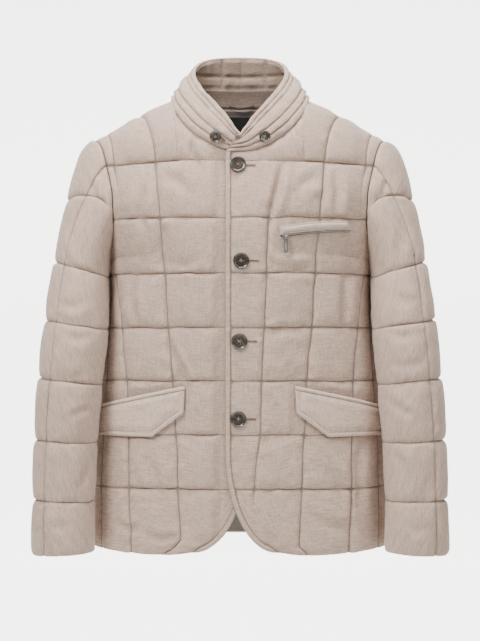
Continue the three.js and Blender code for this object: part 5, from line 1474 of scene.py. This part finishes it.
def repeat(name, lines, shape, pitch, material, uneven=0.06, seed=1, body="jacket"):
    """A plain mesh of one shape repeated along lines of (points, normals) in millimetres."""
    points, edges, ups = [], [], []
    for line, normals in lines:
        edges += [(len(points) + k, len(points) + k + 1) for k in range(len(line) - 1)]
        points += (np.asarray(line) / 1000).tolist()
        ups += np.asarray(normals).tolist()
    mesh = bpy.data.meshes.new(name + "_lines")
    mesh.from_pydata(points, edges, [])
    upright = mesh.attributes.new("upright", "FLOAT_VECTOR", "POINT")
    upright.data.foreach_set("vector", np.array(ups, np.float32).ravel())
    carrier = bpy.data.objects.new(name + "_lines", mesh)
    bpy.context.collection.objects.link(carrier)
    modifier = carrier.modifiers.new("repeat", "NODES")
    modifier.node_group = REPEAT
    values = {"Shape": shape, "Pitch": pitch / 1000, "Uneven": uneven, "Seed": seed, "Material": material}
    for socket in REPEAT.interface.items_tree:
        if socket.name in values:
            modifier[socket.identifier] = values[socket.name]
    graph = bpy.context.evaluated_depsgraph_get()
    made_mesh = bpy.data.meshes.new_from_object(carrier.evaluated_get(graph), depsgraph=graph)
    made_mesh.name = name
    bpy.data.objects.remove(carrier)
    made = bpy.data.objects.new(name, made_mesh)
    bpy.context.collection.objects.link(made)
    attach(made, body)
    print(name, "repeats over", len(lines), "lines,", len(made_mesh.polygons), "faces")
    return made


def unit_shape(name, points, faces):
    """A small shape in millimetres that repeat() sets down; it isn't shown itself."""
    mesh = bpy.data.meshes.new(name)
    mesh.from_pydata([tuple(c / 1000 for c in p) for p in points], [], faces)
    mesh.polygons.foreach_set("use_smooth", [True] * len(faces))
    layer = mesh.uv_layers.new(name="cloth")
    for loop in mesh.loops:
        x, y, z = mesh.vertices[loop.vertex_index].co
        layer.data[loop.index].uv = (x + z, y)
    made = bpy.data.objects.new(name, mesh)
    return made


def spindle(name, length, width, height, sides=5):
    """A thread's stitch: thick in the middle and let into the cloth at both ends."""
    points, faces = [(-length / 2, 0, -height)], []
    for x, size in ((-0.36, 0.75), (0, 1.0), (0.36, 0.75)):
        for k in range(sides):
            a = 2 * math.pi * k / sides
            high = height * size * (0.35 + math.sin(a) / 2)
            points.append((x * length, width / 2 * size * math.cos(a), high))
    points.append((length / 2, 0, -height))
    last = len(points) - 1
    for k in range(sides):
        k1 = (k + 1) % sides
        faces += [(0, 1 + k1, 1 + k), (last, 1 + 2 * sides + k, 1 + 2 * sides + k1)]
        for a, b in ((1, 1 + sides), (1 + sides, 1 + 2 * sides)):
            faces.append((a + k, a + k1, b + k1, b + k))
    return unit_shape(name, points, faces)


# %% [markdown]
# The quilting stitches are a little over three millimetres apart and lie sunk in their grooves, in
# thread of the cloth's own colour.

# %% Quilting stitches
stitch = spindle("stitch_shape", 2.5, 0.55, 0.4, 4)
upper_lines = [line for line in STITCHES if len(line[0]) > 3]
seams = repeat("quilting_stitches", upper_lines, stitch, 3.3, THREAD, 0.08, 3)

# %% [markdown]
# ## Buttons
# The buttons are turned from dark horn: a rolled rim, a dished face and four drilled holes, sewn
# on with a cross of pale thread. A lathe profile gives the disc, and the holes are cut from it.

# %% Buttons
def lathe(profile, sides):
    """Points and faces of a turned solid; profile is (radius, height) from axis to axis."""
    points, faces = [(0, 0, profile[0][1])], []
    rings = profile[1:-1]
    for radius, height in rings:
        points += [
            (radius * math.cos(2 * math.pi * k / sides), radius * math.sin(2 * math.pi * k / sides), height)
            for k in range(sides)
        ]
    points.append((0, 0, profile[-1][1]))
    last = len(points) - 1
    for k in range(sides):
        k1 = (k + 1) % sides
        faces.append((0, 1 + k1, 1 + k))
        for r in range(len(rings) - 1):
            a, b = 1 + r * sides, 1 + (r + 1) * sides
            faces.append((a + k, a + k1, b + k1, b + k))
        faces.append((last, 1 + (len(rings) - 1) * sides + k, 1 + (len(rings) - 1) * sides + k1))
    return points, faces


def plain_object(name, points, faces):
    mesh = bpy.data.meshes.new(name)
    mesh.from_pydata([tuple(c / 1000 for c in p) for p in points], [], faces)
    made = bpy.data.objects.new(name, mesh)
    bpy.context.collection.objects.link(made)
    return made


def button_mesh(radius, height, dish, rim, spread_mm, hole):
    r, h = radius, height
    profile = [
        (0, 0.1), (r * 0.78, 0), (r * 0.9, 0.25), (r * 0.98, h * 0.3), (r, h * 0.55), (r - 0.12, h * 0.78),
        (r - 0.5, h * 0.94), (r - rim * 0.7, h), (r - rim, h - 0.08), (r - rim * 1.35, h - dish * 0.5),
        (r - rim * 1.8, h - dish * 0.9), (r - rim * 2.6, h - dish), (spread_mm * 1.9, h - dish),
        (0, h - dish),
    ]
    disc = plain_object("button_disc", *lathe(profile, 64))
    cutters = []
    for k in range(4):
        a = math.pi / 4 + k * math.pi / 2
        points, faces = lathe([(0, -1), (hole, -1), (hole, h + 1), (0, h + 1)], 18)
        moved = [(x + spread_mm * math.cos(a), y + spread_mm * math.sin(a), z) for x, y, z in points]
        cutter = plain_object("drill", moved, faces)
        modifier = disc.modifiers.new("hole", "BOOLEAN")
        modifier.operation, modifier.solver, modifier.object = "DIFFERENCE", "EXACT", cutter
        cutters.append(cutter)
    bevel = disc.modifiers.new("soft edges", "BEVEL")
    bevel.width, bevel.segments, bevel.limit_method, bevel.angle_limit = 0.00022, 2, "ANGLE", math.radians(50)
    graph = bpy.context.evaluated_depsgraph_get()
    mesh = bpy.data.meshes.new_from_object(disc.evaluated_get(graph), depsgraph=graph)
    for made in [disc] + cutters:
        bpy.data.objects.remove(made)
    return mesh


def sweep(points, half_width, half_height, upright, sides=10):
    """Points and faces of a closed tube of oval section along a line of points."""
    points = np.asarray(points, float)
    along = unit(np.gradient(points, axis=0))
    across = unit(np.cross(along, np.broadcast_to(upright, points.shape)))
    up = np.cross(across, along)
    rings = []
    for k in range(sides):
        a = 2 * math.pi * k / sides
        rings.append(points + across * half_width * math.cos(a) + up * half_height * math.sin(a))
    rings = np.stack(rings, 1).reshape(-1, 3)
    faces, count = [], len(points)
    for i in range(count - 1):
        for k in range(sides):
            k1 = (k + 1) % sides
            faces.append((i * sides + k, i * sides + k1, (i + 1) * sides + k1, (i + 1) * sides + k))
    faces.append(tuple(range(sides)))
    faces.append(tuple((count - 1) * sides + k for k in reversed(range(sides))))
    return rings, faces


def joined(parts):
    points, faces = [], []
    for part_points, part_faces in parts:
        faces += [tuple(len(points) + v for v in face) for face in part_faces]
        points += [tuple(p) for p in part_points]
    return points, faces


def placed_on(centre, normal, turn):
    """A frame on the cloth: its own up is the normal, and turn spins it about that."""
    z = unit(np.asarray(normal, float))
    x = unit(np.cross(np.array([0, 0, 1.0]), z))
    y = np.cross(z, x)
    c, s = math.cos(turn), math.sin(turn)
    return lambda q: np.asarray(q) @ np.stack([c * x + s * y, -s * x + c * y, z]) + centre


def sew_button(name, node, disc, size, centre, normal, turn):
    """Sets one button on the cloth; size gives its holes' reach, the face's height and the thread."""
    spread_mm, face, thread_radius = size
    to_world = placed_on(np.asarray(centre, float), normal, turn)
    points = np.zeros(len(disc.vertices) * 3)
    disc.vertices.foreach_get("co", points)
    mesh = disc.copy()
    mesh.vertices.foreach_set("co", (to_world(points.reshape(-1, 3) * 1000) / 1000).ravel())
    mesh.polygons.foreach_set("use_smooth", [True] * len(mesh.polygons))
    mesh.materials.clear()
    mesh.materials.append(HORN)
    made = bpy.data.objects.new(name, mesh)
    bpy.context.collection.objects.link(made)
    mesh.update()
    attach(made, "jacket")
    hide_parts(node)
    strands = []
    for k in range(4):
        a = math.pi / 4 + k * math.pi / 2
        for offset in (-0.28, 0.28):
            reach = np.array([math.cos(a), math.sin(a)]) * spread_mm
            side = np.array([-math.sin(a), math.cos(a)]) * offset
            t = np.linspace(0, 1, 9)
            flat = reach * (1 - t)[:, None] + side
            rise = face - 1.0 + 1.75 * np.sin(np.pi * (0.5 * t + 0.02)) ** 0.5
            strand = to_world(np.column_stack([flat, rise]))
            strands.append(sweep(strand, thread_radius, thread_radius, normal, 6))
    points, faces = joined(strands)
    uvs = np.array(points)[:, [0, 2]]
    thread = finish_mesh(name + "_thread", points, faces, uvs, [0] * len(faces), [THREAD])


BUTTON_DISC = button_mesh(12.5, 4, 1.2, 1.6, 2.5, 1.05)
SMALL_DISC = button_mesh(9, 3.4, 1.0, 1.3, 1.9, 0.85)
BUTTONS = [(-3.3, -101, 4.5), (1.7, -248, 5.1), (-1.1, -371, 4.9), (-2.6, -490, 5.1)]
for k, (x, z, seat) in enumerate(BUTTONS):
    row = row_at(FRONT_ROWS, 0.01, z)
    centre = body_point(FRONT_ROWS, 0.01, row)
    up = unit(body_point(FRONT_ROWS, 0.01, row + 0.02) - centre)
    normal = np.cross(up, [1, 0, 0])
    normal = normal if normal[1] < 0 else -normal
    centre[0] = x
    name, turn = f"button_{k + 1}", 0.1 + 0.7 * k
    sew_button(name + "_horn", name, BUTTON_DISC, (2.5, 2.8, 0.34), centre + normal * seat, normal, turn)
alongs, ups, collar_base, collar_normals = COLLAR
for side, along in (("left", 0.8), ("right", -0.8)):
    i, j = int(np.argmin(np.abs(alongs - along))), int(np.argmin(np.abs(ups - 0.3)))
    n = collar_normals[i, j]
    name, centre = f"collar_button_{side}", collar_base[i, j] + n * 0.8
    sew_button(name + "_horn", name, SMALL_DISC, (1.9, 2.4, 0.28), centre, n, 0.4)

# %% [markdown]
# ## Buttonholes
# Each buttonhole is a slit from under the button towards the wearer's left, whipped with thread on
# both sides and closed by a bar. The slit is drawn as a thin dark inlay between the stitches, which
# is painted shade for the open gap.

# %% Buttonholes
from mathutils.bvhtree import BVHTree

graph = bpy.context.evaluated_depsgraph_get()
LEFT_FRONT = BVHTree.FromObject(fronts["left"][0], graph)
COLLAR_TREE = BVHTree.FromObject(collar, graph)


def on_cloth(tree, x, z, start=-0.3):
    """The place and normal on a piece of cloth that is met going straight back from the front."""
    place, normal, _, _ = tree.ray_cast(Vector((x / 1000, start, z / 1000)), Vector((0, 1, 0)))
    return np.array(place) * 1000, np.array(normal if normal.y < 0 else -normal)


def cloth_line(tree, start, end, count):
    found = [on_cloth(tree, *(lerp(np.array(start), np.array(end), t))) for t in np.linspace(0, 1, count)]
    return np.array([f[0] for f in found]), np.array([f[1] for f in found])


whip = spindle("whip_shape", 1.9, 0.5, 0.5, 4)
whip.data.transform(Matrix.Rotation(math.radians(90), 4, "Z"))
slits, whipped = [], []
holes = [(LEFT_FRONT, (x + 4, z), (x + 25.5, z - 0.4)) for x, z, _ in BUTTONS]
holes.append((COLLAR_TREE, (-41, -47), (-24, -63)))
for tree, start, end in holes:
    start, end = np.array(start, float), np.array(end, float)
    run = unit(end - start)
    side = np.array([-run[1], run[0]])
    for offset in (-1.25, 1.25):
        points, normals = cloth_line(tree, start + side * offset, end + side * offset, 24)
        whipped.append((points + normals * 0.15, normals))
    points, normals = cloth_line(tree, end + run * 0.9 - side * 2.2, end + run * 0.9 + side * 2.2, 6)
    whipped.append((points + normals * 0.2, normals))
    points, normals = cloth_line(tree, start, end + run * 0.3, 24)
    slits.append(sweep(points + normals * 0.05, 0.42, 0.16, normals, 6))
bars = repeat("buttonhole_stitches", whipped, whip, 0.62, THREAD, 0.1, 7)
# The dark inlay is painted shade standing for the open slit.
points, faces = joined(slits)
slit = finish_mesh("buttonhole_slits", points, faces, np.array(points)[:, [0, 2]], [0] * len(faces), [TAPE])

# %% [markdown]
# ## The chest zip
# Metal teeth run along the tape below the welt. The slider is a small shield with a bridge over
# it; the pull hangs on that bridge by its eye and swings. The bridge and the pull keep their own
# solids, with their sharp edges taken off.

# %% Teeth, slider and pull
tooth_points = [
    (x * 0.5, y * 1.15, z) for z, size in ((0, 1.0), (0.55, 1.0), (0.85, 0.7))
    for x, y in ((-size, -size), (size, -size), (size, size), (-size, size))
]
tooth_faces = [(3, 2, 1, 0), (8, 9, 10, 11)]
tooth_faces += [(r + k, r + (k + 1) % 4, r + 4 + (k + 1) % 4, r + 4 + k) for r in (0, 4) for k in range(4)]
tooth = unit_shape("tooth_shape", tooth_points, tooth_faces)
lines = [(zip_top[2:-2, 4] + zip_normals[2:-2, 4] * 0.05, zip_normals[2:-2, 4])]
teeth = repeat("zip_teeth", lines, tooth, 1.55, NICKEL, 0.02, 5)

low, high = (np.array(corner) * 1000 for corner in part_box("zip_slider"))
middle, half = (low + high) / 2, (high - low) / 2
outline = [(-1, 0.55), (-0.72, 1), (-0.25, 0.86), (0.25, 0.86), (0.72, 1), (1, 0.55), (0.9, -0.4)]
outline += [(0.55, -1), (-0.55, -1), (-0.9, -0.4)]
count = len(outline)
points = [
    (middle[0] + half[0] * x, y, middle[2] + half[2] * z) for y in (low[1], high[1]) for x, z in outline
]
faces = [tuple(range(count)), tuple(reversed(range(count, 2 * count)))]
faces += [(k, (k + 1) % count, count + (k + 1) % count, count + k) for k in range(count)]
slider_uv = np.array(points)[:, [0, 2]]
slider = finish_mesh("zip_slider_shield", points, faces, slider_uv, [0] * len(faces), [NICKEL])
work = bmesh.new()
work.from_mesh(slider.data)
bmesh.ops.recalc_face_normals(work, faces=work.faces)
bmesh.ops.bevel(work, geom=work.edges[:], offset=0.00035, segments=2, affect="EDGES", profile=0.6)
work.to_mesh(slider.data)
work.free()
slider.data.polygons.foreach_set("use_smooth", [False] * len(slider.data.polygons))
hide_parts("zip_slider")
for name, width in (("zip_bridge", 0.00028), ("zip_pull_tab", 0.0003)):
    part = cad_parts[name]
    part.data.materials.clear()
    part.data.materials.append(NICKEL)
    bevel = part.modifiers.new("soft edges", "BEVEL")
    bevel.width, bevel.segments, bevel.limit_method = width, 2, "ANGLE"

# %% [markdown]
# ## Armhole tape
# Inside, the seam that joins each sleeve to the body is covered with a narrow tape of lining. Here
# it also closes the fine gap between the two walls. A flat strip follows the armhole's edge.

# %% Armhole tape
for side, mirror in (("left", 1), ("right", -1)):
    halves = []
    for name, rows in (("front", FRONT_ROWS), ("back", BACK_ROWS)):
        tops, points, _ = ARMHOLES[name]
        along = unit(np.gradient(points, axis=0))
        inside = unit(body_point(rows, 0.97, tops) - points)
        normal = unit(np.cross(along, inside))
        normal = np.where(normal[:, :1] < 0, -normal, normal)
        halves.append((points - normal * 3.7, normal))
    points = np.concatenate([halves[0][0], halves[1][0][-2::-1]])[::4]
    normals = np.concatenate([halves[0][1], halves[1][1][-2::-1]])[::4]
    points[:, 0] *= mirror
    normals[:, 0] *= mirror
    points, faces = sweep(points, 5.5, 0.45, normals, 8)
    tape_uv, name = np.array(points)[:, [1, 2]], f"armhole_tape_{side}"
    tape = finish_mesh(name, points, faces, tape_uv, [0] * len(faces), [LINING])

# %% [markdown]
# ## Inside the neck
# The label is a blank dark piece of ribbed satin ribbon, sewn down along its upper edge, and the
# loop is a narrow folded strip of lining that sags a little between its ends.

# %% Label and loop
def inside_back(x, z):
    start = row_at(BACK_ROWS, 0.1, np.minimum(z, -94))
    low, high = start, 0 * z + YOKE + 1
    for _ in range(14):
        middle = (low + high) / 2
        reached = body_point(BACK_ROWS, across_at(BACK_ROWS, x, middle), middle)[..., 2] >= z
        low, high = np.where(reached, low, middle), np.where(reached, middle, high)
    return body_point(BACK_ROWS, across_at(BACK_ROWS, x, low), low)


x = np.linspace(-24, 25, 33)[:, None] + np.zeros((1, 21))
z = np.linspace(-38, -5, 21)[None, :] + np.zeros((33, 1))
base = inside_back(x, z)
n = normals_of(base, body_axis(base))
down = (-5 - z) / 33
curl = 0.9 * down**2 * (np.abs(x) / 25) ** 2 + 0.25 * noise(x / 11, z / 16, 131) * down
edge = np.minimum(np.minimum(x + 24, 25 - x), np.minimum(z + 38, -5 - z))
fold = 0.25 * (edge < 1.6)
label = wall(
    "label_cloth", base - n * (6.35 + curl + fold + 0.25)[..., None], base - n * (6.2 + curl)[..., None],
    [LABEL_CLOTH], step=3, rounded=(0.4, 0.4, 0.4, 0.4),
)
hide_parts("label_place")

share = np.linspace(0, 1, 41)
anchor = collar_base[len(alongs) // 2, 0]
loop_line = np.column_stack([
    lerp(-17, 22, share), anchor[1] - 9.9 - 8 * share * (1 - share), 11 - 16 * share * (1 - share),
])
points, faces = sweep(loop_line, 0.6, 1.9, np.array([0, 0, 1.0]), 12)
loop = finish_mesh("hanger_loop_cloth", points, faces, np.array(points)[:, [0, 2]], [0] * len(faces), [BAND])
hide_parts("hanger_loop")
